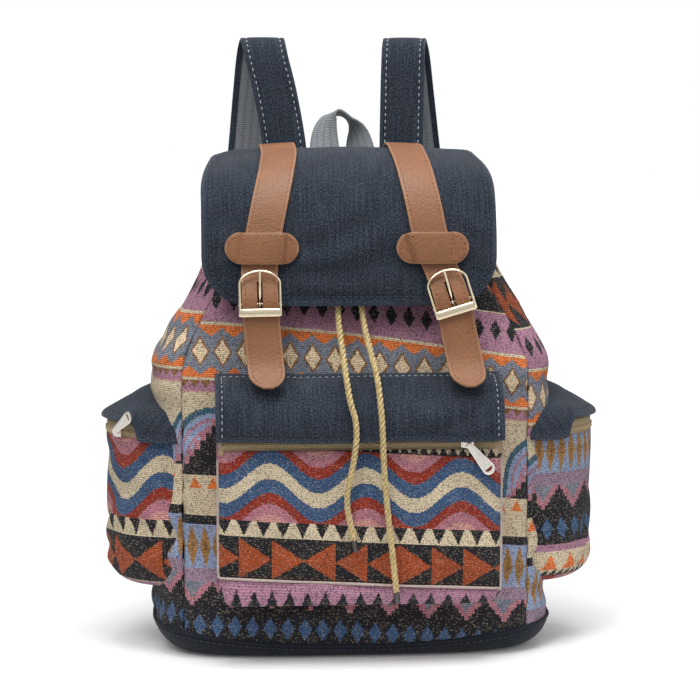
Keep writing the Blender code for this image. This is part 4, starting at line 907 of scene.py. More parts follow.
    cell_down = t.math("FLOOR", t.over(down, WEFT_PITCH))
    crossing = t.place(t.math("FLOOR", t.over(across, WARP_PITCH)), cell_down)
    lift = t.add("ShaderNodeTexWhiteNoise", {"Vector": crossing}, noise_dimensions="2D")
    fleck = t.noise(t.place(t.times(across, 0.9), t.times(down, 1.9)), 1.0, 2.0, 0.7)
    worn = t.mix(t.times(t.math("GREATER_THAN", lift, 0.80), 0.60), colour, (0.020, 0.019, 0.024))
    worn = t.mix(t.times(t.math("LESS_THAN", lift, 0.11), 0.20), worn, (0.80, 0.68, 0.52))
    worn = t.mix(t.times(t.remap(fleck, 0.52, 0.66), 0.35), worn, (0.030, 0.028, 0.032))
    tone = t.noise(t.place(across, down), 0.035, 2.0)
    worn = t.tinted(worn, t.remap(tone, 0.25, 0.75, 1.04, 1.30), 1.08)
    ribs = t.sine(t.times(down, 2 * math.pi / RIB_PITCH))
    warps = t.sine(t.plus(t.times(across, 2 * math.pi / WARP_PITCH), t.times(cell_down, math.pi)))
    height = t.plus(t.times(ribs, 0.6), t.times(warps, 0.35))
    # The colour is darkened in the troughs of the weft ribs, by the same sine that makes their height:
    # painted shade of the rib relief.
    t.join(t.tinted(worn, t.remap(ribs, -1.0, 1.0, 0.74, 1.10)), result["Color"])
    t.join(t.plus(height, t.times(fleck, 0.9)), result["Height"])
    print("design repeat:", repeat, "mm,", len(t.tree.nodes), "nodes")
    return t.tree


JACQUARD_DESIGN = weave_design()

# %% [markdown]
# Denim is a twill: dyed warp on the face, pale weft behind, in fine slanting lines. Uneven slub yarn
# makes the upright streaks, and the dye rubs off first on edges and folds. Leather is a pebbled skin
# with a paler cut edge. Webbing is thick yarn in ribs, rope is twisted fibre, and handled metal carries
# faint smears. Each could be written out in every material, but as one group with its own inputs it is
# mended in one place.

# %% Shared surface groups
def denim_group():
    inputs = {"Vector": None, "Dark": (0.012, 0.020, 0.036), "Light": (0.075, 0.10, 0.15), "Wear": 0.0}
    t, given, result = new_group("denim_twill", inputs, ("Color", "Height"))
    place = given["Vector"]
    u, v = t.split(place)
    twill = t.sine(t.times(t.plus(t.times(u, 1.7), v), 2 * math.pi / 0.0011))
    slub = t.noise(t.stretch(place, 900.0, 30.0, 1.0), 1.0, 3.0, 0.6)
    fine = t.noise(t.stretch(place, 1000.0, 620.0, 1.0), 1.0, 2.0, 0.75)
    cloudy = t.noise(place, 22.0, 3.0)
    share = t.plus(t.times(t.remap(slub, 0.42, 0.70), 0.30), t.times(t.remap(fine, 0.46, 0.66), 0.66))
    share = t.times(share, t.remap(cloudy, 0.3, 0.7, 0.75, 1.15))
    share = t.plus(share, t.times(t.times(given["Wear"], t.remap(fine, 0.3, 0.7)), 0.5))
    t.join(t.mix(t.add("ShaderNodeClamp", (share,)), given["Dark"], given["Light"]), result["Color"])
    grain = t.plus(t.times(slub, 0.5), t.times(fine, 0.9))
    t.join(t.plus(t.times(twill, 0.30), grain), result["Height"])
    return t.tree


def leather_group():
    inputs = {"Vector": None, "Base": (0.3, 0.13, 0.06), "Rim": (0.45, 0.25, 0.13), "Edge": 0.0}
    t, given, result = new_group("leather_grain", inputs, ("Color", "Height", "Roughness"))
    pebble = t.add("ShaderNodeTexVoronoi", {"Vector": given["Vector"], "Scale": 850.0, "Randomness": 1.0},
                   feature="SMOOTH_F1")
    crease = t.noise(given["Vector"], 420.0, 3.0, 0.6)
    blotch = t.noise(given["Vector"], 38.0, 3.0, 0.55)
    deep = t.mix(0.34, given["Base"], (0.12, 0.048, 0.022))
    tone = t.mix(t.remap(blotch, 0.3, 0.72, 0.0, 1.0), deep, given["Base"])
    tone = t.mix(t.times(t.remap(pebble, 0.20, 0.70), 0.50), tone, (0.13, 0.058, 0.030))
    t.join(t.mix(t.times(given["Edge"], 0.6), tone, given["Rim"]), result["Color"])
    t.join(t.minus(t.times(crease, 0.6), pebble), result["Height"])
    t.join(t.remap(t.plus(blotch, t.times(pebble, 0.4)), 0.4, 1.0, 0.40, 0.62), result["Roughness"])
    return t.tree


def ribs_group():
    inputs = {"Vector": None, "Base": (0.2, 0.21, 0.22), "Pitch": 0.0014, "Lines": 0.0}
    t, given, result = new_group("yarn_ribs", inputs, ("Color", "Height"))
    u, v = t.split(given["Vector"])
    turn = t.over(2 * math.pi, given["Pitch"])
    cross = t.sine(t.times(v, turn))
    row = t.math("FLOOR", t.over(v, given["Pitch"]))
    long = t.sine(t.plus(t.times(u, turn), t.times(row, math.pi)))
    fibre = t.noise(t.stretch(given["Vector"], 2600.0, 900.0, 1.0), 1.0, 3.0, 0.7)
    band = t.math("ABSOLUTE", t.sine(t.times(u, 2 * math.pi / 0.0125)))
    height = t.plus(t.plus(t.times(cross, 0.5), t.times(long, 0.4)), t.times(fibre, 0.5))
    height = t.plus(height, t.times(t.times(band, given["Lines"]), 1.4))
    # The colour follows the height: darker in the furrows between the ribs and along the grooved lines,
    # painted shade; the fibre noise in it is yarn tone.
    t.join(t.tinted(given["Base"], t.remap(height, -0.8, 1.3, 0.52, 1.18)), result["Color"])
    t.join(height, result["Height"])
    return t.tree


def fibre_group():
    inputs = {"Vector": None, "Base": (0.5, 0.4, 0.2), "Deep": (0.2, 0.13, 0.05), "Size": 1500.0}
    t, given, result = new_group("twisted_fibre", inputs, ("Color", "Height"))
    hair = t.noise(t.stretch(given["Vector"], 1.0, 1.0, 0.4), given["Size"], 3.0, 0.7)
    t.join(t.mix(t.remap(hair, 0.35, 0.70), given["Deep"], given["Base"]), result["Color"])
    t.join(hair, result["Height"])
    return t.tree


def handled_metal_group():
    inputs = {"Vector": None, "Base": (0.8, 0.7, 0.5), "Polish": 0.18}
    t, given, result = new_group("handled_metal", inputs, ("Color", "Roughness", "Height"))
    smear = t.noise(given["Vector"], 260.0, 4.0, 0.6)
    dull = t.mix(0.6, given["Base"], (0.12, 0.09, 0.06))
    t.join(t.mix(t.times(t.remap(smear, 0.55, 0.75), 0.4), given["Base"], dull), result["Color"])
    t.join(t.plus(given["Polish"], t.times(t.remap(smear, 0.4, 0.8), 0.16)), result["Roughness"])
    t.join(t.noise(t.stretch(given["Vector"], 1.0, 1.0, 14.0), 900.0, 3.0, 0.7), result["Height"])
    return t.tree


DENIM, GRAIN, RIBS = denim_group(), leather_group(), ribs_group()
FIBRE, METAL = fibre_group(), handled_metal_group()
print("groups:", [g.name for g in bpy.data.node_groups])

# %% [markdown]
# The finishes. Each material sets its own roughness, sheen and specular, then feeds one group into its
# colour, bump and, for leather and metal, its roughness. Thread, piping and rope share the fibre group at
# different sizes, because they are the same thing at different thicknesses.

# %% Materials
def cloth_uv(t):
    return t.add("ShaderNodeUVMap", uv_map="UVMap")


def in_place(t):
    return t.add("ShaderNodeTexCoord", out=3)


def edge_mask(t):
    return t.add("ShaderNodeAttribute", out=2, attribute_name="edge")


def jacquard_material():
    mat, t, shader = new_material("jacquard", roughness=0.88, Sheen_Weight=0.05, Sheen_Roughness=0.5,
                                  Specular_IOR_Level=0.2)
    across, down = t.split(t.stretch(cloth_uv(t), 1000.0, 1000.0, 1.0))
    woven = use(t, JACQUARD_DESIGN, {"Across": across, "Down": down})
    finish_material(t, shader, woven["Color"], woven["Height"], 0.75, 0.0005)
    return mat


def denim_material(name, dark, light):
    mat, t, shader = new_material(name, roughness=0.86, Sheen_Weight=0.10, Sheen_Roughness=0.45,
                                  Specular_IOR_Level=0.2)
    twill = use(t, DENIM, {"Vector": cloth_uv(t), "Dark": dark, "Light": light, "Wear": edge_mask(t)})
    finish_material(t, shader, twill["Color"], twill["Height"], 0.55, 0.0003)
    return mat


def leather_material(name, base, rim):
    mat, t, shader = new_material(name, Specular_IOR_Level=0.42)
    skin = use(t, GRAIN, {"Vector": in_place(t), "Base": base, "Rim": rim, "Edge": edge_mask(t)})
    finish_material(t, shader, skin["Color"], skin["Height"], 0.8, 0.0004, skin["Roughness"])
    return mat


def ribbed_material(name, base, pitch, lines=0.0):
    mat, t, shader = new_material(name, roughness=0.8, Specular_IOR_Level=0.25, Sheen_Weight=0.08)
    yarn = use(t, RIBS, {"Vector": cloth_uv(t), "Base": base, "Pitch": pitch, "Lines": lines})
    finish_material(t, shader, yarn["Color"], yarn["Height"], 0.7, 0.0004)
    return mat


def fibre_material(name, base, deep, size=1800.0, roughness=0.7, sheen=0.1):
    mat, t, shader = new_material(name, roughness=roughness, Sheen_Weight=sheen)
    hair = use(t, FIBRE, {"Vector": in_place(t), "Base": base, "Deep": deep, "Size": size})
    finish_material(t, shader, hair["Color"], hair["Height"], 0.4, 0.0002)
    return mat


def metal_material(name, base, polish):
    mat, t, shader = new_material(name, metallic=1.0)
    used = use(t, METAL, {"Vector": in_place(t), "Base": base, "Polish": polish})
    finish_material(t, shader, used["Color"], used["Height"], 0.08, 0.00005, used["Roughness"])
    return mat


def plastic_material():
    mat, t, shader = new_material("black_plastic", roughness=0.42)
    spark = t.noise(in_place(t), 2400.0, 2.0, 0.6)
    cloudy = t.remap(t.noise(in_place(t), 60.0, 3.0), 0.4, 0.8)
    tint = t.mix(cloudy, (0.014, 0.014, 0.017), (0.034, 0.034, 0.038))
    finish_material(t, shader, tint, spark, 0.15, 0.0001, t.remap(spark, 0.3, 0.7, 0.34, 0.52))
    return mat


MAT |= {
    "jacquard": jacquard_material(),
    "denim": denim_material("denim", (0.0045, 0.0075, 0.0140), (0.070, 0.088, 0.120)),
    # A darker copy of the denim for the base and its welt: painted shade on the bottom of the bag.
    "shaded_denim": denim_material("shaded_denim", (0.0030, 0.0048, 0.0090), (0.020, 0.027, 0.040)),
    "leather": leather_material("tan_leather", (0.285, 0.118, 0.048), (0.44, 0.24, 0.130)),
    "webbing": ribbed_material("grey_webbing", (0.205, 0.222, 0.240), 0.0016, 1.0),
    "tape": ribbed_material("beige_tape", (0.60, 0.46, 0.28), 0.0009),
    "rope": fibre_material("gold_rope", (0.76, 0.62, 0.30), (0.30, 0.19, 0.06), 900.0, 0.40, 0.2),
    "piping": fibre_material("cream_piping", (0.50, 0.42, 0.37), (0.30, 0.22, 0.20), 1400.0),
    "white_thread": fibre_material("white_thread", (0.52, 0.55, 0.60), (0.30, 0.33, 0.38), 3000.0),
    "navy_thread": fibre_material("navy_thread", (0.030, 0.044, 0.075), (0.010, 0.014, 0.024), 3000.0),
    "tan_thread": fibre_material("tan_thread", (0.30, 0.125, 0.055), (0.17, 0.065, 0.026), 3000.0),
    "dark_thread": fibre_material("dark_thread", (0.012, 0.013, 0.018), (0.006, 0.006, 0.008), 3000.0),
    "gold_metal": metal_material("pale_gold", (0.86, 0.74, 0.54), 0.10),
    "silver_metal": metal_material("pale_nickel", (0.78, 0.74, 0.68), 0.14),
    "dark_metal": metal_material("dark_nickel", (0.085, 0.080, 0.080), 0.26),
    "plastic": plastic_material(),
}
print("materials:", sorted(MAT))

# %% [markdown]
# The body. Four woven panels stand on a denim base. Their cloth is drawn into soft pleats at the mouth,
# swells between the seams and slumps a little just above the base, as an unfilled bag does on a floor.
# A cloth simulation could find these folds, but here the relief is written straight into the fine grid,
# because a fixed rest shape is easy to repeat and keeps the seams where the CAD has them.

# %% Woven body panels
FOLD_SEEDS = {"front": 1.3, "back": 4.1, "right": 7.7, "left": 11.9}
PANEL_NODES = {"front": "front_panel", "back": "back_panel",
               "right": "right_side_panel", "left": "left_side_panel"}
FRONT_BAND = 0.154 + 0.259
WOVEN_SHIFTS = {"back": (0.0, 0.016), "right": (0.021, -0.0385), "left": (-0.013, 0.0073)}


def body_relief(p, turn, seed, calm):
    """How far the cloth stands off the plain body at a point, in metres."""
    z = p[2]
    pleat = ease(0.0, 1.0, (z - 0.262) / 0.055)
    slump = ease(0.0, 1.0, (z - 0.020) / 0.02) * ease(1.0, 0.0, (z - 0.070) / 0.06)
    swell = 0.0026 * rough(p, 13.0, seed) + 0.0011 * rough(p, 34.0, seed)
    ripple = 0.0017 * wave(turn * 34 + 1.6 * rough(p, 11.0, seed))
    creases = 0.0016 * wave(z / 0.031 + 2.2 * rough(p, 8.0, seed))
    side_crease = 0.0012 * wave(z / 0.040 + p[0] * 3 + 1.5 * rough(p, 10.0, seed + 3))
    sides = ease(0.0, 1.0, (abs(p[0]) - 0.10) / 0.05)
    off = (swell + slump * creases) * (1 - calm) + pleat * ripple + side_crease * sides
    return off * ease(0.0, 1.0, z / 0.03)


def band_drop(x):
    """How far the bands have dropped by x across the front, since the cloth was cut a little askew."""
    return 0.029 * max(0.0, min((x + 0.116) / 0.247, 1.1)) ** 1.6


def woven_place(side, x, z, run):
    """Which place of the woven design, across and down, lies at a point of a panel."""
    if side == "front":
        return x, FRONT_BAND - band_drop(x) * (0.58 + 0.42 * min(z / 0.25, 1.2)) - z
    shift, lift = WOVEN_SHIFTS[side]
    return run + shift, FRONT_BAND + lift - z


def body_panel(side, first, last, columns, rows):
    """A panel between two corner seams, each given as a turn and the way that its seam moves off it."""
    def ends(z):
        return first[0] + first[1] * seam_turn(z), last[0] + last[1] * seam_turn(z)

    level = plan_run(*ends(SHOULDER_HEIGHT), SHOULDER_HEIGHT, 0, columns)
    across = run_of(level)
    across -= across[-1] / 2
    grid, uv = [], []
    for v in np.linspace(0, 1, rows):
        row, cells = [], []
        z_read, line = None, None
        for k in range(columns):
            low = rim_height(level[k][0]) - 0.0015
            z = low + (MOUTH_HEIGHT - low) * v
            if z_read is None or abs(z - z_read) > 0.0006:
                z_read, line = z, plan_run(*ends(z), z, 0, columns)
            x, y = line[k][0], line[k][1]
            start, end = ends(z)
            turn = start + (end - start) * k / (columns - 1)
            out = Vector((x / body_plan(z)[0] ** 2, y / (0.075 ** 2), 0)).normalized()
            edge = min(k, columns - 1 - k) / (columns - 1)
            calm = ease(1.0, 0.0, edge / 0.05) * 0.7
            off = body_relief((x, y, z), turn, FOLD_SEEDS[side], calm) - 0.0014 * ease(1.0, 0.0, edge / 0.018)
            if side == "front":
                off = min(off, 0.0006)
            row.append(Vector((x, y, z)) + out * off)
            cells.append(woven_place(side, x, z, across[k]))
        grid.append(row)
        uv.append(cells)
    cloth(f"{side}_cloth", grid, "jacquard", [PANEL_NODES[side]], uv=uv)


body_panel("front", (0, 1), (0.5, -1), 120, 132)
body_panel("back", (0.5, 1), (1, -1), 84, 96)
body_panel("right", (0, -1), (0, 1), 84, 110)
body_panel("left", (0.5, -1), (0.5, 1), 84, 110)

# %% [markdown]
# The base is a dish of denim, welted to the panels, and the collar is a casing that the drawcord
# runs in. The base and its welt are a darker copy of the denim, painted shade on the bottom of the bag.
# Both could be cut from the body's own grid, but each is its own ring of points on the same plan
# formula, because a denim edge has its own thickness and its own seam.

# %% Denim base, its seam and the collar
def base_shell():
    turns = np.linspace(0, 1, 161)[:-1]
    level = [plan_point(t, SHOULDER_HEIGHT)[0] for t in turns]
    grid = []
    for share in (0.0, 0.05, 0.12, 0.2, 0.3, 0.42, 0.55, 0.7, 0.85, 0.95, 1.0):
        row = []
        for t, x in zip(turns, level):
            z = share * (rim_height(x) + 0.0012)
            p = plan_point(t, max(z, 0.0004), -0.0006)
            lift = 0.0010 * rough(p, 24.0, 2.0) * ease(0.0, 1.0, share * 3)
            scale = 1 + lift / 0.1
            row.append((p[0] * scale, p[1] * scale, p[2]))
        grid.append(row)
    floor = [[(x * f, y * f, 0.0005) for x, y, _ in grid[0]] for f in (0.02, 0.35, 0.7, 0.93)]
    return floor + grid


base_grid = base_shell()
# The base wears the darker copy of the denim, painted shade on the bottom of the bag.
base = cloth("base_denim", base_grid, "shaded_denim", ["base_panel"], thick=0.0016, away=(0, 0, -1),
             closed=True)
wall = base.data.polygons[len(base.data.polygons) - 10]
if wall.normal.dot(Vector((wall.center.x, wall.center.y, 0))) < 0:
    base.data.flip_normals()


def rim_line(below, inset):
    """Points round the body along the base's rim, or a little below it."""
    return [Vector(plan_point(t, rim_height(plan_point(t, SHOULDER_HEIGHT)[0]) - below, inset))
            for t in np.linspace(0, 1, 201)]


rim = rim_line(0.0, -0.0009)
# The welt takes the same darker denim copy, painted shade.
round_tube("base_welt", rim[:-1] + [rim[0]], 0.0011, "shaded_denim", sides=8)
path = rim_line(0.0042, -0.0008)
rows = [(path, [Vector((p.x, p.y * 4, 0)).normalized() for p in path])]
stitches("base_stitches", rows, "navy_thread")


def collar_ring(inset, z, lively):
    ring = []
    for t in np.linspace(0, 1, 241)[:-1]:
        pleat = 0.0011 * math.sin(2 * math.pi * 40 * t + 3 * math.sin(2 * math.pi * 5 * t)) * lively
        x, y, _ = plan_point(t, MOUTH_HEIGHT, inset + pleat)
        ring.append((x, y, z + 0.0008 * wave(13 * t) * lively))
    return ring


low, top = MOUTH_HEIGHT - 0.002, MOUTH_HEIGHT + COLLAR_HEIGHT
collar_width = CORD_DIAMETER + 0.0008 + 2 * COLLAR_WALL
collar_rows = [(-0.0004, low, 0.6), (-0.0004, low + 0.008, 1.0), (0.0, low + 0.018, 1.0),
               (0.0, top - 0.010, 1.0), (0.0, top - 0.0046, 0.9), (0.0012, top - 0.0014, 0.8),
               (0.0037, top, 0.7), (0.0062, top - 0.0014, 0.8), (collar_width, top - 0.0046, 0.9),
               (collar_width, top - 0.018, 1.0), (collar_width, low + 0.004, 0.7)]
cloth("collar_denim", [collar_ring(*row) for row in collar_rows], "denim", ["mouth_collar"],
      thick=0.0011, closed=True)
print("collar from", round(low, 3), "to", round(top, 3), "m")

# %% [markdown]
# The flap is one cut of denim, turned and topstitched round its edge, sewn across the back and thrown
# over the mouth. It is a sheet. Its drape could come from a cloth simulation, but the straps and the
# stuffed collar fix it so well that a profile line gives it, with small hollows between the straps.

# %% Flap
STRAP_ROUTES = {"left": STRAP_LEFT, "right": STRAP_RIGHT}
FLAP_TRIM = 0.0025
FLAP_OFF_CENTRE = -0.0060
FLAP_TOPSTITCH = 0.0065


def flap_surface(s, v, lift=0.0):
    """A point of the visible flap for its share across (-1 to 1) and down (0 to 1)."""
    x = s * (flap_width(v) - FLAP_TRIM) + FLAP_OFF_CENTRE
    p = flap_point(x, v)
    free = 1.0
    if 0.25 < v:
        for route in STRAP_ROUTES.values():
            free = min(free, ease(0.12, 1.0, (abs(x - strap_station(route, p[2])) - 0.017) / 0.02))
    inset = min((1 - abs(s)) * flap_width(v), (1 - v) * FLAP_RUN)
    seam = -0.0005 * math.exp(-((inset - FLAP_TOPSTITCH) / 0.0012) ** 2)
    seam -= 0.0006 * ease(1.0, 0.0, inset / 0.0025)
    fold = 0.0013 * rough(p, 15.0, 3.3) + 0.0009 * rough(p, 40.0, 9.1)
    drag = 0.0009 * wave(p[2] / 0.034 + 1.7 * rough(p, 9.0, 5.0)) * ease(0.0, 1.0, (v - 0.55) / 0.2)
    off = (fold + drag) * free * ease(0.3, 1.0, inset / 0.02) + seam - 0.0004
    return Vector(flap_point(x, v, -off - lift))


def flap_stations(count, cluster):
    """Shares from 0 to 1 with extra ones where the topstitch and the turned edge need them."""
    return sorted(set(np.linspace(0, 1, count).round(5)) | set(cluster))


edge_shares = (0.0055, 0.011, 0.02, 0.036, 0.046, 0.056, 0.068)
columns = flap_stations(79, [round(s, 5) for e in edge_shares for s in (e / 2, 1 - e / 2)])
rows = flap_stations(97, [round(1 - e * 0.436, 5) for e in edge_shares])
flap_grid = [[flap_surface(2 * c - 1, r) for c in columns] for r in rows]
flap_uv = [[((2 * c - 1) * flap_width(r), r * FLAP_RUN) for c in columns] for r in rows]
flap_edge = [[ease(1.0, 0.0, (min(flap_width(r) * (1 - abs(2 * c - 1)), (1 - r) * FLAP_RUN) - 0.001) / 0.004)
              for c in columns] for r in rows]
flap = cloth("flap", flap_grid, "denim", ["flap_panel"], thick=0.0032, uv=flap_uv, edge=flap_edge,
             away=(0, -1, 0.2), rounded=0.0011)

hem_v = 1 - FLAP_TOPSTITCH / FLAP_RUN
inner = FLAP_HALF_WIDTH - FLAP_CORNER
half_seam = [(1 - FLAP_TOPSTITCH / flap_width(v), v) for v in np.linspace(0.06, 0.90, 90)]
for a in np.linspace(0, math.pi / 2, 24):
    v = 1 - (FLAP_CORNER - (FLAP_CORNER - FLAP_TOPSTITCH) * math.sin(a)) / FLAP_RUN
    half_seam.append(((inner + (FLAP_CORNER - FLAP_TOPSTITCH) * math.cos(a)) / flap_width(v), v))
hem_seam = [(s * inner / flap_width(hem_v), hem_v) for s in np.linspace(-1, 1, 60)]
seam = [(-s, v) for s, v in half_seam] + hem_seam + half_seam[::-1]
path = [flap_surface(s, v, 0.0002) for s, v in seam]
outs = [Vector((0, *flap_profile(v)[1])) for _, v in seam]
flap_thread = stitches("flap_stitches", [(path, outs)], "navy_thread", length=0.0030, gap=0.0012)

# %% [markdown]
# Leather straps run from the flap's crest down over the hem and through the buckles. They are cut from
# one thickness of hide, so their rims show the paler core, and each is stitched near both edges in
# thread of its own colour. A pill-shaped patch, sewn at both ends, keeps each strap to the flap. A strap
# could be a flat ribbon with thickness added, but a rounded section carried along its path gives it the
# soft rim of cut leather, and narrowing that section station by station gives the round tip.

# %% Flap straps, keepers and their stitching
def strap_scale(run, tip, least=0.30):
    left = run[-1] - run
    return [max(least, math.sqrt(max(0.0, 1 - (1 - min(a / tip, 1.0)) ** 2))) for a in left]


def flap_strap(side):
    route = STRAP_ROUTES[side]
    centres = strap_path(route, 120)
    run = run_of(centres)
    tail = run[-1] - np.array([0.0005, 0.0012, 0.0022, 0.0034, 0.005, 0.007, 0.0095])
    centres = read_at(centres, np.sort(np.concatenate([run[:-1], tail, [run[-1]]])))
    run = run_of(centres)
    sides, outs = frames_along(centres, [flap_across(x, z) for x, _, z in centres], square=False)
    section = rounded_section(STRAP_WIDTH, 0.0, LEATHER, corner=0.0007, dome=0.00025)
    strap(f"flap_strap_{side}_leather", centres, sides, outs, section, "leather",
          [f"flap_strap_{side}"], scale=strap_scale(run, STRAP_ROUND))
    seat = STRAP_WIDTH / 2 - STRAP_SEAM
    lines = []
    for s in (-1, 1):
        path, normals = [], []
        for k in range(2, len(centres)):
            left = run[-1] - run[k]
            if left < 0.0030:
                continue
            inset = seat
            if left < STRAP_ROUND:
                past = (STRAP_ROUND - left) / (STRAP_ROUND - STRAP_SEAM)
                inset = math.sqrt(max(0.0, 1 - past ** 2)) * seat
            path.append(Vector(centres[k]) + sides[k] * s * inset + outs[k] * (LEATHER + 0.00012))
            normals.append(outs[k])
        lines.append((path, normals))
    stitches(f"flap_strap_{side}_stitches", lines, "tan_thread", length=0.0026, gap=0.0011,
             width=0.00062)


def keeper(side):
    route = STRAP_ROUTES[side]
    middle = strap_station(route, KEEPER_HEIGHT)
    half, radius = KEEPER_LENGTH / 2, KEEPER_WIDTH / 2
    inner = half - radius
    slope = (strap_station(route, KEEPER_HEIGHT - 0.01) - strap_station(route, KEEPER_HEIGHT + 0.01)) / 0.02

    def end_reach(over):
        """Half height of the pill at a distance over past where its round end starts."""
        return math.sqrt(max(0.0036, 1 - (over / radius) ** 2)) * radius

    def surface(s, t, lift=0.0):
        over = max(0.0, abs(s * half) - inner)
        z = KEEPER_HEIGHT + t * end_reach(over)
        x = middle + s * half
        off_strap = abs(x - middle - slope * (KEEPER_HEIGHT - z)) - STRAP_WIDTH / 2
        rise = ease(STRAP_LIFT + LEATHER + 0.0011, 0.0, (off_strap - 0.0008) / 0.0050)
        rim = 0.0004 * max(0.0, max(abs(t), over / radius) - 0.86) / 0.14
        y = flap_point(x, flap_at(x, z))[1] - GAP - rise - LEATHER + rim - 0.0002 - lift
        return Vector((x, y, z))

    shares = np.sin(np.linspace(-math.pi / 2, math.pi / 2, 47))
    heights = np.sin(np.linspace(-math.pi / 2, math.pi / 2, 21))
    grid = [[surface(s, t) for s in shares] for t in heights]
    edge = [[ease(0.0, 1.0, (max(abs(t), abs(s)) - 0.93) / 0.06) for s in shares] for t in heights]
    cloth(f"keeper_{side}_leather", grid, "leather", [f"strap_keeper_{side}"], thick=LEATHER,
          edge=edge, away=(0, -1, 0), rounded=0.0006)
    lines = []
    seat = radius - 0.0026
    for s in (-1, 1):
        ends = [(s * (inner - 0.0018), -seat), (s * (inner - 0.0018), seat)]
        arc = [(s * (inner + seat * math.sin(a)), -seat * math.cos(a)) for a in np.linspace(0, math.pi, 19)]
        path = [surface(x / half, z / end_reach(max(0.0, abs(x) - inner)), 0.0001)
                for x, z in [ends[0]] + arc + [ends[1]]]
        bar = [surface(s * (inner - 0.0022) / half, t, 0.0001) for t in np.linspace(-0.78, 0.78, 9)]
        lines += [(points, [Vector((0, -1, 0))] * len(points)) for points in (path, bar)]
    stitches(f"keeper_{side}_stitches", lines, "tan_thread", length=0.0026, gap=0.0010,
             width=0.00065)


STRAP_ROUND = 0.0130
STRAP_SEAM = 0.0027
for side in ("left", "right"):
    flap_strap(side)
    keeper(side)
print("strap tips at", STRAP_LEFT[-1][1], "and", STRAP_RIGHT[-1][1], "m")

# %% [markdown]
# Buckles. The frame is a cast ring: a slim arched rail over the top, slim sides and a broad polished
# lower band. A bar behind the strap carries the prong and a folded leather tab that is sewn to the body.
# The frame leans in towards its arch, because the strap pulls the top against the flap. It could be cut
# from a plate and bevelled, but a ring between two outlines takes a domed section all the way round, as
# a casting has. The prong's slots are the one thing cut out, since a hole through a strap has no outline.

# %% Buckles, prongs and anchor tabs
def buckle_place(side):
    route = STRAP_ROUTES[side]
    x = strap_station(route, BUCKLE_BASE + BUCKLE_HEIGHT / 2)
    lean = math.atan2(strap_station(route, BUCKLE_BASE) - strap_station(route, BUCKLE_BASE + BUCKLE_HEIGHT),
                      BUCKLE_HEIGHT)

    def place(px, y, pz, tilt=BUCKLE_TILT):
        up = pz - BUCKLE_HEIGHT / 2
        return Vector((x + px * math.cos(lean) - up * math.sin(lean), y + tilt * (pz - BAR_HEIGHT),
                       BUCKLE_BASE + BUCKLE_HEIGHT / 2 + px * math.sin(lean) + up * math.cos(lean)))

    return place


def loop_solid(name, inner, outer, place, y_back, thick, dome, finish, instead):
    """A ring between two closed outlines with a softly rounded section."""
    count = len(inner)
    section = [(0.0, 0.25), (0.04, 0.75), (0.16, 0.96), (0.5, 1.0 + dome), (0.84, 0.96), (0.96, 0.75),
               (1.0, 0.25), (0.90, 0.0), (0.10, 0.0)]
    verts = []
    for (ix, iz), (ox, oz) in zip(inner, outer):
        for across, rise in section:
            verts.append(place(ix + (ox - ix) * across, y_back - thick * rise, iz + (oz - iz) * across))
    around = len(section)
    faces = [(k * around + i, k * around + (i + 1) % around, ((k + 1) % count) * around + (i + 1) % around,
              ((k + 1) % count) * around + i) for k in range(count) for i in range(around)]
    return outward(new_object(name, verts, faces, [(0, 0)] * len(verts), finish, "bag", instead, smooth=75))


def buckle_outlines():
    half = BUCKLE_WIDTH / 2
    arch = BUCKLE_HEIGHT * 0.30
    inner_half = half - BUCKLE_RAIL
    spring = BUCKLE_HEIGHT - arch
    outer = [(half * math.cos(a), spring + arch * math.sin(a)) for a in np.linspace(0, math.pi, 37)]
    inner = [(inner_half * math.cos(a), spring + (arch - BUCKLE_RAIL) * math.sin(a))
             for a in np.linspace(0, math.pi, 37)]
    falls = [(t, spring + (BUCKLE_BAND - spring) * t) for t in np.linspace(0, 1, 9)[1:]]
    outer += [(-half, z * (1 - t) + 0.0006 * t) for t, z in falls]
    inner += [(-inner_half, z) for _, z in falls]
    for t in np.linspace(0, 1, 17)[1:-1]:
        outer.append((-half + BUCKLE_WIDTH * t, 0.0))
        inner.append((-inner_half + 2 * inner_half * t, BUCKLE_BAND))
    outer += [(half, z * (1 - t) + 0.0006 * t) for t, z in falls[::-1]]
    inner += [(inner_half, z) for _, z in falls[::-1]]
    return inner, outer


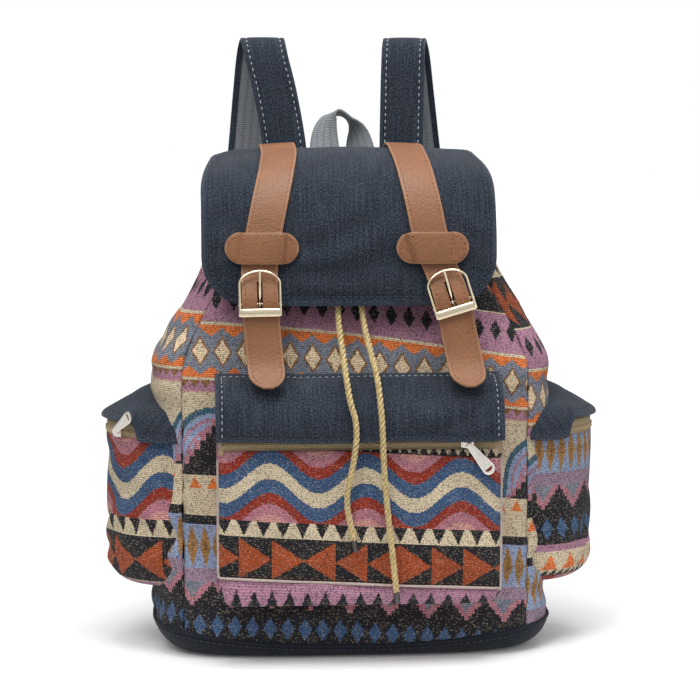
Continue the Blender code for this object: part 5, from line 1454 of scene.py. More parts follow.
def buckle(side):
    place = buckle_place(side)
    face = -(BUCKLE_FACE + LEATHER + GAP + BUCKLE_RAIL / 2 + 0.0004)
    bar_y = -(BUCKLE_FACE - 2 * GAP - TAB_LEATHER - BAR_DIAMETER / 2)
    inner, outer = buckle_outlines()
    loop_solid(f"buckle_{side}_metal", inner, outer, place, face + BUCKLE_RAIL / 2, BUCKLE_RAIL, 0.18,
               "gold_metal", [f"buckle_frame_{side}"])
    half = BUCKLE_WIDTH / 2
    ends = [(half - 0.0008, face), (half - 0.0008, bar_y * 0.5 + face * 0.5), (half - 0.0012, bar_y)]
    straight = [(x, bar_y) for x in np.linspace(-half + 0.002, half - 0.002, 9)]
    line = [(-x, y) for x, y in ends] + straight + ends[::-1]
    bar = [place(x, y, BAR_HEIGHT) for x, y in line]
    round_tube(f"buckle_{side}_bar", bar, BAR_DIAMETER / 2 * 0.96, "gold_metal", sides=12)
    top = BUCKLE_HEIGHT - BUCKLE_RAIL / 2
    eye_radius = BAR_DIAMETER / 2 + 0.0004 + 0.00055
    eye = [(0, bar_y - eye_radius * math.cos(a), BAR_HEIGHT + eye_radius * math.sin(a))
           for a in np.linspace(math.radians(-60), math.radians(250), 22)]
    rest = face - BUCKLE_RAIL / 2 - GAP - PRONG_DIAMETER * 0.42
    y, z = bar_y - eye_radius * 0.75, BAR_HEIGHT + eye_radius * 0.70
    pin = smooth_path([(0, y, z), (0, y - 0.0030, z + 0.0040), (0, rest + 0.0005, z + 0.0110),
                       (0, rest, top - 0.002), (0, rest, top + 0.0012)], 40)
    taper = [(1 - 0.26 * k / 39) * (0.45 if k == 39 else 0.85 if k == 38 else 1) for k in range(40)]
    axis = tuple((place(1, 0, 0) - place(0, 0, 0)).normalized())
    verts, faces = [], []
    for points, radii, flat in ((eye, [1.15] * len(eye), 0.5), (pin, taper, 0.84)):
        centres = [place(*p) for p in points]
        sides, outs = frames_along(centres, axis)
        faces += tube_faces(len(centres), 12, len(verts))
        for c, s, o, share in zip(centres, sides, outs, radii):
            r = PRONG_DIAMETER / 2 * share
            verts += [c + s * r * math.cos(math.pi * i / 6) + o * r * flat * math.sin(math.pi * i / 6)
                      for i in range(12)]
    outward(new_object(f"prong_{side}_metal", verts, faces, [(0, 0)] * len(verts), "gold_metal",
                       f"{side}_prong", [f"buckle_prong_{side}"], smooth=80))
    anchor(side, place, bar_y)


def prong_slot(piece, place, depth, height):
    """Cuts the slot that the prong turns in, with a hidden block in the buckle's own frame."""
    cut = bpy.data.meshes.new(f"{piece.name}_slot")
    bm = bmesh.new()
    bmesh.ops.create_cube(bm, size=1.0)
    for v in bm.verts:
        v.co = place(v.co.x * (PRONG_DIAMETER + 0.0018), sum(depth) / 2 + v.co.y * (depth[1] - depth[0]),
                     sum(height) / 2 + v.co.z * (height[1] - height[0]))
    bm.to_mesh(cut)
    bm.free()
    knife = bpy.data.objects.new(f"{piece.name}_slot", cut)
    bpy.context.collection.objects.link(knife)
    knife.hide_render = True
    knife.hide_viewport = True
    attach(knife, "bag")
    hole = piece.modifiers.new("prong slot", "BOOLEAN")
    hole.operation, hole.solver, hole.object = "DIFFERENCE", "EXACT", knife


def anchor(side, place, bar_y):
    radius = BAR_DIAMETER / 2 + GAP
    foot = place(0, 0, -0.0300, 0)
    skin = front_y(foot.x, foot.z) - GAP - 0.0006 - TAB_LEATHER
    path = [(0, skin, -0.0300), (0, skin, -0.0205), (0, skin - 0.0045, -0.0120),
            (0, -FLAP_FRONT - 0.0016, FLAP_BOTTOM - BUCKLE_BASE - 0.0040),
            (0, bar_y + radius + 0.0004, BAR_HEIGHT - 0.004)]
    middle = radius + TAB_LEATHER / 2
    loop = [(0, bar_y + middle * math.cos(a), BAR_HEIGHT + middle * math.sin(a))
            for a in np.linspace(math.radians(-12), math.radians(192), 15)]
    back = [(0, y - TAB_LEATHER - GAP, z) for _, y, z in path[-2::-1]]
    line = [*smooth_path(path[:-1], 18), *loop, *smooth_path(back, 18)]
    centres = [place(*p, 0) for p in line]
    axis = tuple((place(1, 0, 0) - place(0, 0, 0)).normalized())
    sides, outs = frames_along(centres, axis)
    section = rounded_section(STRAP_WIDTH - 0.0032, -TAB_LEATHER / 2, TAB_LEATHER / 2, 0.0004, columns=6)
    piece = strap(f"anchor_{side}_leather", centres, sides, outs, section, "leather",
                  [f"buckle_anchor_{side}"])
    prong_slot(piece, place, (bar_y - 0.006, bar_y + 0.006), (BAR_HEIGHT - 0.004, BAR_HEIGHT + 0.008))


for side in ("left", "right"):
    buckle(side)
    through = (-BUCKLE_FACE - LEATHER - 0.004, -BUCKLE_FACE + 0.004)
    prong_slot(bpy.data.objects[f"flap_strap_{side}_leather"], buckle_place(side), through,
               (BAR_HEIGHT - 0.003, BAR_HEIGHT + 0.017))
print("buckle frames", BUCKLE_WIDTH * 1000, "x", BUCKLE_HEIGHT * 1000, "mm")

# %% [markdown]
# The drawcord is rope: three strands of glossy gold yarn laid round each other. Its free ends hang from
# the eyelets over the pocket's band, each closed by a crimped dark tube. A bump map on a plain tube could
# hint at the lay, but its outline would stay smooth, so each strand is its own tube wound round the
# cord's path, and the furrows between the strands are real.

# %% Drawcords
def rope(name, route, instead, pitch=0.0125, detail=0.0011, sides=9):
    points = smooth_path(route, step=detail)
    run = run_of(points)
    frames = steady_frames(points)
    radius = CORD_DIAMETER / 2
    strand = radius / (1 + 2 / math.sqrt(3)) * 1.06
    orbit = radius - strand
    verts, faces, uvs = [], [], []
    for s in range(3):
        faces += tube_faces(len(points), sides, len(verts))
        for k, (c, (t, a, b)) in enumerate(zip(points, frames)):
            turn = 2 * math.pi * (run[k] / pitch + s / 3)
            radial = a * math.cos(turn) + b * math.sin(turn)
            around = ((b * math.cos(turn) - a * math.sin(turn)) * 0.75 - t * 0.66).normalized()
            for i in range(sides):
                angle = 2 * math.pi * i / sides
                verts.append(Vector(c) + radial * (orbit + strand * math.cos(angle))
                             + around * strand * math.sin(angle))
                uvs.append((angle * strand, run[k]))
    obj = outward(new_object(name, verts, faces, uvs, "rope", "bag", instead, smooth=85))
    return obj, points


def cord_tip(side, points):
    """A crimped metal tube: lathed, with a rolled mouth, two pressed grooves and a closed end."""
    end = Vector(points[-1])
    along = (end - Vector(points[-3])).normalized()
    radius = CORD_DIAMETER * 0.46
    profile = [(-0.0006, 0.55), (-0.0006, 1.0), (-0.0002, 1.08), (0.0004, 1.0), (0.0016, 0.98),
               (0.0019, 0.86), (0.0022, 0.98), (0.0046, 0.98), (0.0049, 0.86), (0.0052, 0.98),
               (0.0076, 0.96), (0.0082, 0.84), (0.0083, 0.5)]
    across = along.orthogonal().normalized()
    up = along.cross(across)
    verts = [end + along * (z + GAP) + (across * math.cos(a) + up * math.sin(a)) * radius * r
             for z, r in profile for a in np.linspace(0, 2 * math.pi, 24, endpoint=False)]
    faces = tube_faces(len(profile), 24)
    return outward(new_object(f"cord_tip_{side}_metal", verts, faces, [(0, 0)] * len(verts), "dark_metal",
                              "bag", [f"cord_tip_{side}"], smooth=40))


for side, route in (("left", CORD_ROUTE_LEFT), ("right", CORD_ROUTE_RIGHT)):
    coarse = smooth_path(route, step=2.6 * CORD_DIAMETER)
    cord, line = rope(f"drawcord_{side}_rope", coarse, [f"drawcord_{side}"])
    tip = cord_tip(side, line)
    [float(c) for c in line[0]]
    float(run_of(line)[-1])
    [p.tolist() for p in line]
    print(f"drawcord {side}: {run_of(line)[-1]:.3f} m")
inset = COLLAR_WALL + 0.0004 + CORD_DIAMETER / 2
ring = [(p[0], p[1], EYELET_HEIGHT) for p in plan_run(0.262, 1.238, MOUTH_HEIGHT, inset, 40)]
rope("drawcord_ring_rope", ring, ["drawcord_ring"], detail=0.003)
for side in ("left", "right"):
    NODES[f"eyelet_{side}"].data.materials.clear()
    NODES[f"eyelet_{side}"].data.materials.append(MAT["gold_metal"])

# %% [markdown]
# Front pocket. The woven face is sewn to a wall (gusset) over a cream piping, which shows as a fine cord
# along the bottom. Face and wall could be one boxy mesh with rounded edges, but as two cloths that meet
# at the piping each has its own run of the pattern, as two cut pieces have.

# %% Front pocket cloth and piping
POCKET_CLOTH_TOP = 0.1668
WALL_EDGE = POCKET_FACE - 0.0042


def pocket_share(x):
    """Share across the pocket, from 0 at its left edge to 1 at its right."""
    return (x + POCKET_HALF_WIDTH) / (2 * POCKET_HALF_WIDTH)


def piping_height(x):
    return 0.0715 - 0.0110 * pocket_share(x)


def pocket_y(x, z):
    """The pocket's visible face, with soft dents, and rolled under at the bottom and in at the sides."""
    puff = 0.0012 * rough((x, 0, z), 17.0, 2.0) + 0.0008 * rough((x, 0, z), 42.0, 6.0)
    puff += 0.0009 * wave(z / 0.05 + 2.0 * rough((x, 0, z), 9.0, 1.0))
    calm = ease(0.0, 1.0, (POCKET_CLOTH_TOP - z) / 0.02) * ease(0.0, 1.0, (POCKET_HALF_WIDTH - abs(x)) / 0.02)
    roll = 0.0035 * ease(1.0, 0.0, (POCKET_HALF_WIDTH - abs(x)) / 0.006)
    under = 0.0050 * (1 - math.sqrt(1 - ease(1.0, 0.0, (z - POCKET_BOTTOM) / 0.010) ** 2 * 0.98))
    return pocket_face_y(x, z) - puff * calm + roll + under


def pocket_low(x):
    over = max(0.0, abs(x) - (POCKET_HALF_WIDTH - POCKET_CORNER))
    return POCKET_BOTTOM + POCKET_CORNER - math.sqrt(max(0.0, POCKET_CORNER ** 2 - over ** 2))


xs = np.sin(np.linspace(-math.pi / 2, math.pi / 2, 101)) * 0.5 + np.linspace(-0.5, 0.5, 101)
xs = xs * POCKET_HALF_WIDTH
grid, uv = [], []
for t in np.linspace(0, 1, 61):
    row, cells = [], []
    for x in xs:
        low = max(piping_height(x), pocket_low(x))
        z = low + (POCKET_CLOTH_TOP - low) * t
        row.append((x, pocket_y(x, z), z))
        cells.append((x, 0.0127 + (POCKET_CLOTH_TOP - z) * 1.145 - 0.014 * pocket_share(x)))
    grid.append(row)
    uv.append(cells)
cloth("pocket_face_cloth", grid, "jacquard", ["pocket_front"], uv=uv, away=(0, -1, 0), thick=0.0014)


def wall_outline(count):
    """Left side, bottom and right side of the pocket as (x, 0, z), evenly spaced."""
    half, low, r = POCKET_HALF_WIDTH, POCKET_BOTTOM, POCKET_CORNER
    turns = np.linspace(0, math.pi / 2, 12)[1:]
    points = [(-half, 0, z) for z in np.linspace(0.2000, low + r, 30)]
    points += [(-half + r - r * math.cos(a), 0, low + r - r * math.sin(a)) for a in turns]
    points += [(x, 0, low) for x in np.linspace(-half + r, half - r, 60)[1:]]
    points += [(half - r + r * math.sin(a), 0, low + r - r * math.cos(a)) for a in turns]
    points += [(half, 0, z) for z in np.linspace(low + r, 0.2000, 30)[1:]]
    return read_at(points, np.linspace(0, run_of(points)[-1], count))


outline = wall_outline(180)
length = run_of(outline)
grid, uv = [], []
for d in np.linspace(0, 1, 15):
    row, cells = [], []
    for k, (x, _, z) in enumerate(outline):
        start = front_y(x, z) + 0.004
        y = start * (1 - d) - WALL_EDGE * d
        puff = 0.0013 * math.sin(math.pi * d) * rough((x, y, z), 24.0, 8.0)
        row.append((x * (1 + puff * 6), y, z + puff))
        cells.append((length[k], 0.1370 + 0.030 * (1 - d)))
    grid.append(row)
    uv.append(cells)
for turn in np.linspace(0, 1, 6)[1:]:
    row, cells = [], []
    for k, (x, _, z) in enumerate(outline):
        side_in = min(abs(x), POCKET_HALF_WIDTH - 0.0006 * turn)
        if z < POCKET_BOTTOM + POCKET_CORNER:
            rise = z + max(0.0, piping_height(x) - 0.0006 - z) * turn
            y = min(pocket_y(side_in, rise) + 0.0006, -WALL_EDGE) - 0.0016 * math.sin(math.pi * turn)
        else:
            rise, y = z, -WALL_EDGE - 0.0014 * turn
        row.append((math.copysign(side_in, x), y, rise))
        cells.append((length[k], 0.1238 + 0.0132 * (1 - turn)))
    grid.append(row)
    uv.append(cells)
cloth("pocket_wall_cloth", grid, "jacquard", ["pocket_gusset"], uv=uv, away=(0, 0, -1), thick=0.0012)

route = []
for x in np.linspace(-POCKET_HALF_WIDTH + 0.0008, POCKET_HALF_WIDTH - 0.0008, 90):
    z = max(piping_height(x), pocket_low(x))
    route.append((x, pocket_y(x, z) - 0.0008, z - 0.0004))
ends = [[(s * (POCKET_HALF_WIDTH - 0.0004), pocket_y(s * (POCKET_HALF_WIDTH - 0.0008), z) + 0.0004, z)
         for z in np.linspace(0.160, 0.078, 24)] for s in (-1, 1)]
route = ends[0] + route + ends[1][::-1]
round_tube("pocket_piping_cord", smooth_path(route, 260), 0.0011, "piping", ["pocket_piping"], sides=10,
           lobes=2, pitch=0.0032)
path = [Vector((x, pocket_y(x, piping_height(x) + 0.0022) - 0.0001, piping_height(x) + 0.0022))
        for x in np.linspace(-0.098, 0.098, 110)]
stitches("pocket_face_stitches", [(path, [Vector((0, -1, 0))] * len(path))], "tan_thread", slot="jacquard",
         length=0.0026, gap=0.0022, width=0.0005)
print("pocket wall:", round(float(length[-1]), 3), "m round the pocket")

# %% [markdown]
# The band is a denim flap that slopes out from the body and hangs over the zip. A bent plate would do
# from afar, but its profile is read along a curve and dented a little, so that its hem hangs like cloth.

# %% Denim band over the pocket
def band_profile(x):
    face = -POCKET_FACE - BAND_STANDOFF
    half = POCKET_HALF_WIDTH + 0.0012
    fall = 0.004 * (abs(x) / half) ** 6
    path = [(front_y(x, POCKET_TOP, 0.0014), POCKET_TOP), (-0.094, POCKET_TOP - 0.006),
            (-POCKET_FACE + 0.0015, POCKET_TOP - 0.0155), (face + 0.003 + fall, POCKET_TOP - 0.026),
            (face + fall, POCKET_TOP - 0.038), (face + fall, BAND_EDGE)]
    return smooth_path([(x, y, z) for y, z in path], 61)


BAND_HALF = POCKET_HALF_WIDTH + 0.0012
BAND_RUN = 0.064
seam_shares = [-0.975, -0.965, -0.955, 0.955, 0.965, 0.975]
band_xs = np.unique(np.concatenate([np.linspace(-1, 1, 97), seam_shares])) * BAND_HALF
band_grid, band_outs, band_edge = [], [], []
for x in band_xs:
    line = band_profile(x)
    _, outs = frames_along(line, (1.0, 0.0, 0.0))
    outs = [-o if o.y > 0 else o for o in outs]
    row, edge = [], []
    for k, (p, o) in enumerate(zip(line, outs)):
        v = k / 60
        free = math.sin(math.pi * min(v, 0.9)) * ease(0.0, 1.0, (BAND_HALF - abs(x)) / 0.01)
        crease = 0.0011 * wave(v * 1.4 + abs(x) * 5 + 1.2 * rough(p, 16.0, 2.0))
        off = (crease + 0.0014 * rough(p, 26.0, 5.0)) * free
        inset = min(BAND_HALF - abs(x), v * BAND_RUN)
        off -= 0.0005 * math.exp(-((inset - 0.0048) / 0.0011) ** 2)
        row.append(Vector(p) + o * (off - 0.0004) + Vector((0, 0, 0.0007 * math.sin(x * 55) * v)))
        edge.append(ease(1.0, 0.0, (min(inset, (1 - v) * BAND_RUN) - 0.0004) / 0.0035))
    band_grid.append(row)
    band_outs.append(outs)
    band_edge.append(edge)
cloth("pocket_band_denim", list(zip(*band_grid)), "denim", ["pocket_band"], thick=0.0020,
      away=(0, -1, 0.3), edge=list(zip(*band_edge)), rounded=0.0006)


def band_line(points):
    path, normals = [], []
    for x, v in points:
        i = int(np.argmin(np.abs(band_xs - x)))
        k = min(60, max(0, round(v * 60)))
        p = band_grid[i][k].copy()
        p.x = x
        path.append(p + band_outs[i][k] * 0.0001)
        normals.append(band_outs[i][k])
    return path, normals


inner = BAND_HALF - 0.0050
across, down = np.linspace(-inner, inner, 120), np.linspace(0.09, 0.97, 40)
top_line = band_line([(x, 0.085) for x in across])
side_lines = [band_line([(x, v) for v in down]) for x in (-inner, inner)]
stitches("pocket_band_stitches", [top_line, *side_lines], "white_thread", length=0.0026,
         gap=0.0022, width=0.00075)
hem_line = band_line([(x, 0.955) for x in across])
stitches("pocket_band_hem", [hem_line], "navy_thread", length=0.0028, gap=0.0014, width=0.0006)

# %% [markdown]
# A zip is two tapes with a row of teeth on each; the slider meshes them and the pull hangs from its
# bridge. The CAD keeps the chain as one ridge. A pattern on that ridge could hint at teeth, but a close
# view shows them, so each tooth is its own small block, set on either side by turns.

# %% Zips: tape, teeth, slider and pull
def zip_line(name, place, start, end, below, above, instead, body="bag"):
    """Tape with two rows of teeth; place(along, out, up) maps the flat zip onto its seat."""
    count = max(30, int((end - start) / 0.0022))
    ups = [-below, -below * 0.6, -0.0024, -0.0013, 0.0, 0.0013, 0.0024, above * 0.5, above]
    grid = [[place(a, 0.0003 if abs(u) < 0.0014 else 0.0001, u) for a in np.linspace(start, end, count)]
            for u in ups]
    middle = place((start + end) / 2, 0.01, 0) - place((start + end) / 2, 0.0, 0)
    cloth(f"{name}_tape", grid, "tape", instead, thick=ZIP_TAPE * 0.8, away=tuple(middle), body=body)
    verts, faces = [], []
    pitch = 0.00125
    rings = ((0.0002, -0.0006, 0.0019, 0.00046), (0.0011, -0.0006, 0.0019, 0.00046),
             (0.00138, -0.0003, 0.0016, 0.00030))
    for k in range(int((end - start) / pitch)):
        at = start + (k + 0.5) * pitch
        side = 1 if k % 2 else -1
        faces += tube_faces(3, 4, len(verts))
        for out, low, high, wide in rings:
            corners = ((-wide, low), (wide, low), (wide, high), (-wide, high))
            verts += [place(at + a, out, side * u) for a, u in corners]
    outward(new_object(f"{name}_teeth", verts, faces, [(0, 0)] * len(verts), "tape", body, smooth=30))


def dress_metal(node, finish, width=0.00022):
    """A CAD piece gets its finish, and the small radii that tumbling gives to edges."""
    obj = NODES[node]
    obj.data.materials.clear()
    obj.data.materials.append(MAT[finish])
    bevel = obj.modifiers.new("tumbled edge", "BEVEL")
    bevel.width = width
    bevel.segments = 2
    bevel.limit_method = "ANGLE"
    bevel.angle_limit = math.radians(40)
    bevel.harden_normals = False


PULL_HALF = 0.00055


def pull_tab(name, node, body):
    """Teardrop pull, domed on both sides, with a half-moon slot near its round end."""
    points = np.array([v.co for v in NODES[node].data.vertices], float)
    centre = points.mean(0)
    axes = np.linalg.svd(points - centre, full_matrices=False)[2]
    along, across, out = (Vector(a) for a in axes)
    spread = (points - centre) @ np.array(along)
    ends = [points[spread < spread.min() + 0.004], points[spread > spread.max() - 0.004]]
    widths = [np.ptp((e - centre) @ np.array(across)) for e in ends]
    if widths[0] > widths[1]:
        along, spread = -along, -spread
    across = out.cross(along)
    sideways = (points - centre) @ np.array(across)
    length, wide = float(np.ptp(spread)), float(np.ptp(sideways)) / 2
    neck = wide * 0.50
    right = math.pi / 2
    outer = [(neck + neck * math.cos(a), neck * math.sin(a)) for a in np.linspace(right, 3 * right, 20)]
    outer += [(length - wide + wide * math.cos(a), wide * math.sin(a))
              for a in np.linspace(-right, right, 28)]
    slot_at, slot_r = length - wide - 0.0004, wide - 0.0016
    hole = [(slot_at + slot_r * 0.75 * math.cos(a), slot_r * math.sin(a))
            for a in np.linspace(right, -right, 20)]
    hole += [(slot_at, y) for y in np.linspace(-slot_r, slot_r, 10)[1:-1]]
    bm = bmesh.new()
    origin = Vector(centre) + along * spread.min() + across * (float(sideways.max() + sideways.min()) / 2)

    def loop_at(outline, height):
        return [bm.verts.new(origin + along * x + across * y + out * height) for x, y in outline]

    def rims(sign):
        """Loops from the waist of the pull up to the flat of its face."""
        loops = []
        for inset, rise in ((0.0, 0.55), (0.0003, 0.9), (0.0007, 1.0)):
            outline = [(x * (1 - 2 * inset / length) + inset, y * (1 - inset / wide)) for x, y in outer]
            loops.append(loop_at(outline, sign * PULL_HALF * rise))
        return loops

    def bridge(a, b):
        for i in range(len(a)):
            j = (i + 1) % len(a)
            bm.faces.new((a[i], a[j], b[j], b[i]))

    front, back = rims(1), rims(-1)
    order = front[::-1] + back
    for a, b in zip(order, order[1:]):
        bridge(a, b)
    cuts = []
    for sign, rim in ((1, front[2]), (-1, back[2])):
        cut = loop_at(hole, sign * PULL_HALF)
        edges = [bm.edges.get((rim[i], rim[(i + 1) % len(rim)])) for i in range(len(rim))]
        edges += [bm.edges.new((cut[i], cut[(i + 1) % len(cut)])) for i in range(len(cut))]
        bmesh.ops.triangle_fill(bm, edges=edges, use_beauty=True)
        cuts.append(cut)
    bridge(*cuts)
    bmesh.ops.recalc_face_normals(bm, faces=bm.faces)
    mesh = bpy.data.meshes.new(name)
    bm.to_mesh(mesh)
    bm.free()
    mesh.uv_layers.new(name="UVMap")
    mesh.materials.append(MAT["silver_metal"])
    mesh.shade_smooth()
    mesh.set_sharp_from_angle(angle=math.radians(38))
    obj = bpy.data.objects.new(name, mesh)
    bpy.context.collection.objects.link(obj)
    settle(obj, "silver_metal", body, [node])


zip_face = -POCKET_FACE + 0.0008
zip_line("pocket_zip", lambda a, o, u: Vector((a, zip_face - o, ZIP_HEIGHT + u)), -POCKET_HALF_WIDTH + 0.0012,
         POCKET_HALF_WIDTH - 0.0012, 0.0078, 0.0235, ["pocket_zip_tape"])
dress_metal("pocket_zip_slider", "silver_metal")
pull_tab("pocket_pull_metal", "pocket_zip_pull", "pocket_pull")
print("pocket zip:", round(2 * POCKET_HALF_WIDTH, 3), "m wide at", ZIP_HEIGHT, "m")

# %% [markdown]
# Side pockets are half-round: a woven wall with a rolled bottom edge, a zip on the arc and a denim roof
# that oversails it to shed rain. Its front end turns down into an apron that hangs over the end of the
# zip. A lathe would give the half-round form, but the ends have to meet the body's own curve, so each row
# is an arc that stops where it reaches the body.

# %% Side pockets
def side_pocket(side, s, woven_from, woven_shift):
    low = SIDE_BOTTOM
    top = SIDE_ZIP - 0.0036
    flat, wall = SIDE_RADIUS - SIDE_CORNER, low + SIDE_CORNER
    profile = [(0.012, low), (0.024, low), (flat, low)]
    profile += [(flat + SIDE_CORNER * math.sin(a), wall - SIDE_CORNER * math.cos(a))
                for a in np.linspace(0, math.pi / 2, 10)[1:]]
    profile += [(SIDE_RADIUS + 0.0006 * math.sin(math.pi * t), wall + (top - wall) * t)
                for t in np.linspace(0, 1, 40)[1:]]
    total = sum(math.dist(p, q) for p, q in zip(profile, profile[1:]))
    grid, uv = [], []
    down = 0.0
    for k, (r, z) in enumerate(profile):
        if k:
            down += math.dist(profile[k], profile[k - 1])
        arc = side_arc(s, r, z, 72, -0.0030)
        run = run_of(arc) - run_of(arc)[-1] / 2
        row, cells = [], []
        for j, p in enumerate(arc):
            spread = min(j, 71 - j) / 71
            radial = Vector((p[0] - s * SIDE_AXIS_X, p[1], 0)).normalized()
            free = ease(0.0, 1.0, spread / 0.12) * ease(0.0, 1.0, (z - low) / 0.02)
            free *= ease(0.0, 1.0, (top - z) / 0.015)
            dent = 0.0016 * rough(p, 20.0, 3.0 + s) + 0.0012 * wave(z / 0.036 + 2.0 * rough(p, 10.0, 6.0))
            row.append(Vector(p) + radial * (dent - 0.0006) * free)
            cells.append((-s * run[j] + woven_shift, woven_from + total - down))
        grid.append(row)
        uv.append(cells)
    cloth(f"side_pocket_{side}_cloth", grid, "jacquard", [f"side_pocket_shell_{side}"], uv=uv,
          thick=0.0013, away=(s, 0.0, 0.0))

    base = SIDE_RADIUS - 0.0006
    front = side_reach(base, SIDE_ZIP, -1, 0.0012)
    back = side_reach(base, SIDE_ZIP, 1, 0.0012)

    def seat_zip(along, out, up):
        angle = along / base
        r = base + out
        return Vector((s * (SIDE_AXIS_X + r * math.cos(angle)), r * math.sin(angle), SIDE_ZIP + up))

    zip_line(f"side_zip_{side}", seat_zip, -front * base, back * base, SIDE_TAPE_HALF,
             SIDE_TAPE_HALF + 0.0006, [f"side_zip_tape_{side}"])
    dress_metal(f"side_zip_slider_{side}", "silver_metal")
    pull_tab(f"side_pull_{side}_metal", f"side_zip_pull_{side}", f"{side}_pull")

    edge_rises = ((SIDE_ROOF_OVERHANG, 0.0), (0.0036, 0.0022), (0.001, 0.0045), (-0.006, 0.0085),
                  (-0.013, 0.0125), (-0.020, 0.0165))
    roof = [(SIDE_RADIUS + out, 0.0, SIDE_ROOF_EDGE + up) for out, up in edge_rises]
    roof += [(SIDE_RADIUS - 0.027, 0.0, SIDE_ROOF_TOP - 0.0035),
             (SIDE_RADIUS - 0.0380, 0.0, SIDE_ROOF_TOP + 0.001)]
    fine = smooth_path(roof, 30)
    grid, edge = [], []
    for k, (r, _, z) in enumerate(fine):
        arc = side_arc(s, r, z, 64, -0.0018)
        row = []
        for j, p in enumerate(arc):
            radial = Vector((p[0] - s * SIDE_AXIS_X, p[1], 0)).normalized()
            free = math.sin(math.pi * min(j, 63 - j) / 63) * math.sin(math.pi * k / 29)
            dip = -0.0005 * math.exp(-((k - 5.2) / 0.9) ** 2)
            off = 0.0013 * rough(p, 30.0, s) * free + dip - 0.0002
            lift = Vector((radial.x * 0.4, radial.y * 0.4, 0.9)) * off
            turn = math.degrees(math.atan2(p[1], s * p[0] - SIDE_AXIS_X))
            apron = ease(1.0, 0.0, (turn - APRON_TURN) / 7.0) if k < APRON_ROWS else 0.0
            t = k / APRON_ROWS
            out = (SIDE_RADIUS + 0.0042) * (1 - t ** 3) + fine[APRON_ROWS][0] * t ** 3 - r
            up = (SIDE_ZIP - 0.0055) * (1 - t) + fine[APRON_ROWS][2] * t - z
            hung = radial * out + Vector((0, 0, up))
            row.append(Vector(p) + lift + hung * apron)
        grid.append(row)
        edge.append([ease(1.0, 0.0, (k - 0.5) / 2.5)] * len(arc))
    cloth(f"side_roof_{side}_denim", grid, "denim", [f"side_pocket_roof_{side}"], thick=0.0020,
          away=(s * 0.3, 0, 1), edge=edge, rounded=0.0006)
    path = [grid[5][j] + Vector((0, 0, 0.0002)) for j in range(2, 62)]
    lines = [(path, [Vector((s * 0.4, 0, 0.9))] * len(path))]
    stitches(f"side_roof_{side}_stitches", lines, "dark_thread", length=0.0028, gap=0.0016, width=0.0007)


APRON_TURN = -60.0
APRON_ROWS = 9
side_pocket("left", -1, 0.009, 0.010)
side_pocket("right", 1, 0.313, 0.004)
print("side pockets:", SIDE_RADIUS, "m out from their axes at x", SIDE_AXIS_X, "m")

# %% [markdown]
# Shoulder straps: a padded denim face with a pale topstitch along both edges, over grey webbing that runs
# the whole length and shows from behind. Below each, a moulded adjuster takes up the lower webbing. They
# stand up as in the photograph. A curve with a bevel would carry them too, but its section can't hold the
# groove that a topstitch pulls into padding, so the section is listed point by point and swept.

# %% Shoulder straps, handle and webbing
def shoulder(side, route):
    s = -1 if side == "left" else 1
    root = flap_back() + GAP + 0.0003 + SHOULDER_THICKNESS
    coarse = smooth_path([(x, root + reach, z) for x, reach, z in route], 52)
    centres = smooth_path(coarse, 190)
    sides, outs = frames_along(centres, (1.0, 0.0, 0.0), square=False)
    seam = SHOULDER_WIDTH / 2 - 0.0042
    face = SHOULDER_THICKNESS - 0.0006
    section = [(x, y - (0.00055 * math.exp(-((abs(x) - seam) / 0.0010) ** 2) if y > 0.002 else 0.0))
               for x, y in rounded_section(SHOULDER_WIDTH, 0.0, face, corner=0.0011, dome=0.0005, columns=14)]
    denim = strap(f"shoulder_{side}_denim", centres, sides, outs, section, "denim",
                  [f"shoulder_strap_{side}"])
    lines = []
    for e in (-1, 1):
        path = [Vector(c) + sd * e * seam + o * face for c, sd, o in zip(centres, sides, outs)]
        lines.append((path[2:-2], outs[2:-2]))
    stitches(f"shoulder_{side}_stitches", lines, "white_thread", length=0.0030, gap=0.0024, width=0.0008)
    lining = rounded_section(WEBBING_WIDTH, -LINING_GAP - LINING_THICKNESS, -LINING_GAP + 0.0005, 0.0005,
                             columns=8)
    strap(f"lining_{side}_webbing", centres, sides, outs, lining, "webbing", [f"strap_lining_{side}"])

    end, along = Vector(coarse[-1]), (Vector(coarse[-1]) - Vector(coarse[-2])).normalized()
    across, out = (v[-1] for v in frames_along(coarse, (1.0, 0.0, 0.0), square=False))
    top = end + along * (GAP + 0.0002)

    def place(down, behind):
        return tuple(top + along * down + out * behind)

    bar = ADJUSTER_HEIGHT / 2 - ADJUSTER_RAIL / 2
    slot_middle = bar + ADJUSTER_RAIL + (ADJUSTER_HEIGHT - ADJUSTER_RAIL - bar - ADJUSTER_RAIL) / 2
    x_end = s * 0.088
    y_end = back_y(x_end, LOWER_WEBBING_END) + GAP + WEBBING_THICKNESS / 2 + 0.0006
    path = [place(slot_middle - 0.001, ADJUSTER_THICKNESS + 0.001),
            place(slot_middle, ADJUSTER_THICKNESS / 2), place(slot_middle + 0.0030, -0.0042),
            place(slot_middle + 0.012, -0.0065), (s * 0.101, 0.0900, 0.072), (s * 0.094, 0.0790, 0.052),
            (x_end, y_end, LOWER_WEBBING_END)]
    points = smooth_path(smooth_path(path, 22), 70)
    w_sides, w_outs = frames_along(points, tuple(across))
    half = WEBBING_THICKNESS / 2
    section = rounded_section(WEBBING_WIDTH, -half, half, 0.0005, columns=8)
    strap(f"lower_webbing_{side}_weave", points, w_sides, w_outs, section, "webbing",
          [f"lower_webbing_{side}"])
    dress_metal(f"adjuster_{side}", "plastic", width=0.0008)


shoulder("left", SHOULDER_LEFT)
shoulder("right", SHOULDER_RIGHT)

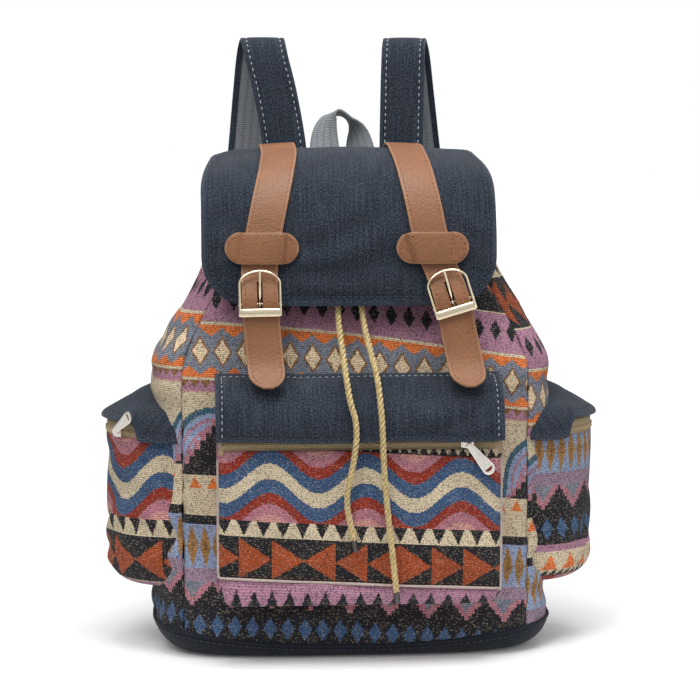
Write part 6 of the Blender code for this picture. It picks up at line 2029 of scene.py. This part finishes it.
root = flap_back() + GAP + HANDLE_THICKNESS / 2 + 0.0003
knots = [(x, root + reach, z, *across) for (x, reach, z), across in HANDLE_ROUTE]
path = smooth_path(smooth_path(knots, 30), 110)
sides, outs = frames_along(path[:, :3], path[:, 3:])
section = rounded_section(WEBBING_WIDTH, -HANDLE_THICKNESS / 2, HANDLE_THICKNESS / 2, 0.0007, dome=0.0002)
strap("handle_webbing", path[:, :3], sides, outs, section, "webbing", ["carry_handle"])
print("shoulder straps", SHOULDER_WIDTH * 1000, "mm wide, handle", WEBBING_WIDTH * 1000, "mm wide")

# %% [markdown]
# Light and camera. A product photograph is lit by wide soft sources all round with one a little
# stronger from the upper left, over a plain pale floor that runs out to white. The white could be a
# curved backdrop, but then its shade would change with the light, so the floor gives off its own white
# by distance, for the eye of the camera and, more weakly, for what polished metal mirrors.

# %% Floor, light and camera
floor_mesh = bpy.data.meshes.new("floor")
corners = [(x, y, -0.0002) for x, y in ((-9, -9), (9, -9), (9, 9), (-9, 9))]
floor_mesh.from_pydata(corners, [], [(0, 1, 2, 3)])
floor = bpy.data.objects.new("floor", floor_mesh)
bpy.context.collection.objects.link(floor)
floor_mat, t, shader = new_material("pale_floor", roughness=0.7, Specular_IOR_Level=0.15)
x, y = t.split(t.add("ShaderNodeNewGeometry", out=0))
distance = t.math("SQRT", t.plus(t.times(x, x), t.times(y, y)))
away = t.remap(distance, 0.24, 0.62)
t.join(t.mix(away, (0.84, 0.84, 0.85), (0.05, 0.05, 0.05)), shader.inputs["Base Color"])
shader.inputs["Emission Color"].default_value = (1.0, 1.0, 1.0, 1.0)
rays = t.tree.nodes.new("ShaderNodeLightPath").outputs
seen = t.plus(rays["Is Camera Ray"], t.times(rays["Is Glossy Ray"], 0.7))
t.join(t.times(t.remap(away, 0.0, 1.0, 0.03, 1.05), seen), shader.inputs["Emission Strength"])
floor_mesh.materials.append(floor_mat)
floor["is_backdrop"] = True

world = bpy.data.worlds.new("white_room")
world.use_nodes = True
bpy.context.scene.world = world
for node in list(world.node_tree.nodes):
    world.node_tree.nodes.remove(node)
w = Tree(world.node_tree)
plain = w.add("ShaderNodeBackground", {"Color": (1.0, 1.0, 1.0, 1.0), "Strength": 1.0})
up = world.node_tree.nodes.new("ShaderNodeSeparateXYZ")
w.join(w.add("ShaderNodeTexCoord", out=0), up.inputs[0])
shaded = w.mix(w.remap(up.outputs[2], -0.2, 0.9), (0.50, 0.50, 0.51), (1.0, 1.0, 1.0))
room = w.add("ShaderNodeBackground", {"Color": shaded, "Strength": 0.80})
camera_ray = world.node_tree.nodes.new("ShaderNodeLightPath").outputs["Is Camera Ray"]
end = world.node_tree.nodes.new("ShaderNodeOutputWorld")
w.join(w.add("ShaderNodeMixShader", {0: camera_ray, 1: room, 2: plain}), end.inputs["Surface"])


def area_light(name, place, aim, size, power):
    data = bpy.data.lights.new(name, "AREA")
    data.size = size
    data.energy = power
    obj = bpy.data.objects.new(name, data)
    obj.location = place
    obj.rotation_euler = (Vector(aim) - Vector(place)).to_track_quat("-Z", "Y").to_euler()
    bpy.context.collection.objects.link(obj)


area_light("key", (-0.9, -1.4, 2.2), (0, 0, 0.25), 1.0, 27.0)
area_light("fill", (1.9, -1.5, 1.2), (0, 0, 0.25), 1.6, 9.0)
area_light("top", (0.1, -0.6, 2.3), (0, 0, 0.3), 1.2, 34.0)

camera_data = bpy.data.cameras.new("camera")
camera_data.lens = 117.2
camera_data.sensor_width = 36.0
camera = bpy.data.objects.new("camera", camera_data)
CAMERA_PLACE, CAMERA_AIM = Vector((-0.1342, -1.785, 0.4188)), Vector((0.0, 0.0, 0.2306))
camera.location = CAMERA_PLACE
camera.rotation_euler = (CAMERA_AIM - CAMERA_PLACE).to_track_quat("-Z", "Y").to_euler()
bpy.context.collection.objects.link(camera)
bpy.context.scene.camera = camera
bpy.context.scene.view_settings.view_transform = "Standard"
print("camera", [round(c, 3) for c in camera.location], "lens", camera_data.lens)

# %% [markdown]
# Last, the size of what shows and its count of triangles are printed.

# %% Sizes and the end
SHOWN_BOUNDS = [list(p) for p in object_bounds()]
triangles = 0
graph = bpy.context.evaluated_depsgraph_get()
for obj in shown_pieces():
    mesh = obj.evaluated_get(graph).to_mesh()
    mesh.calc_loop_triangles()
    triangles += len(mesh.loop_triangles)
    obj.evaluated_get(graph).to_mesh_clear()
print("shown box:", [[round(x, 4) for x in p] for p in SHOWN_BOUNDS], "triangles:", triangles)
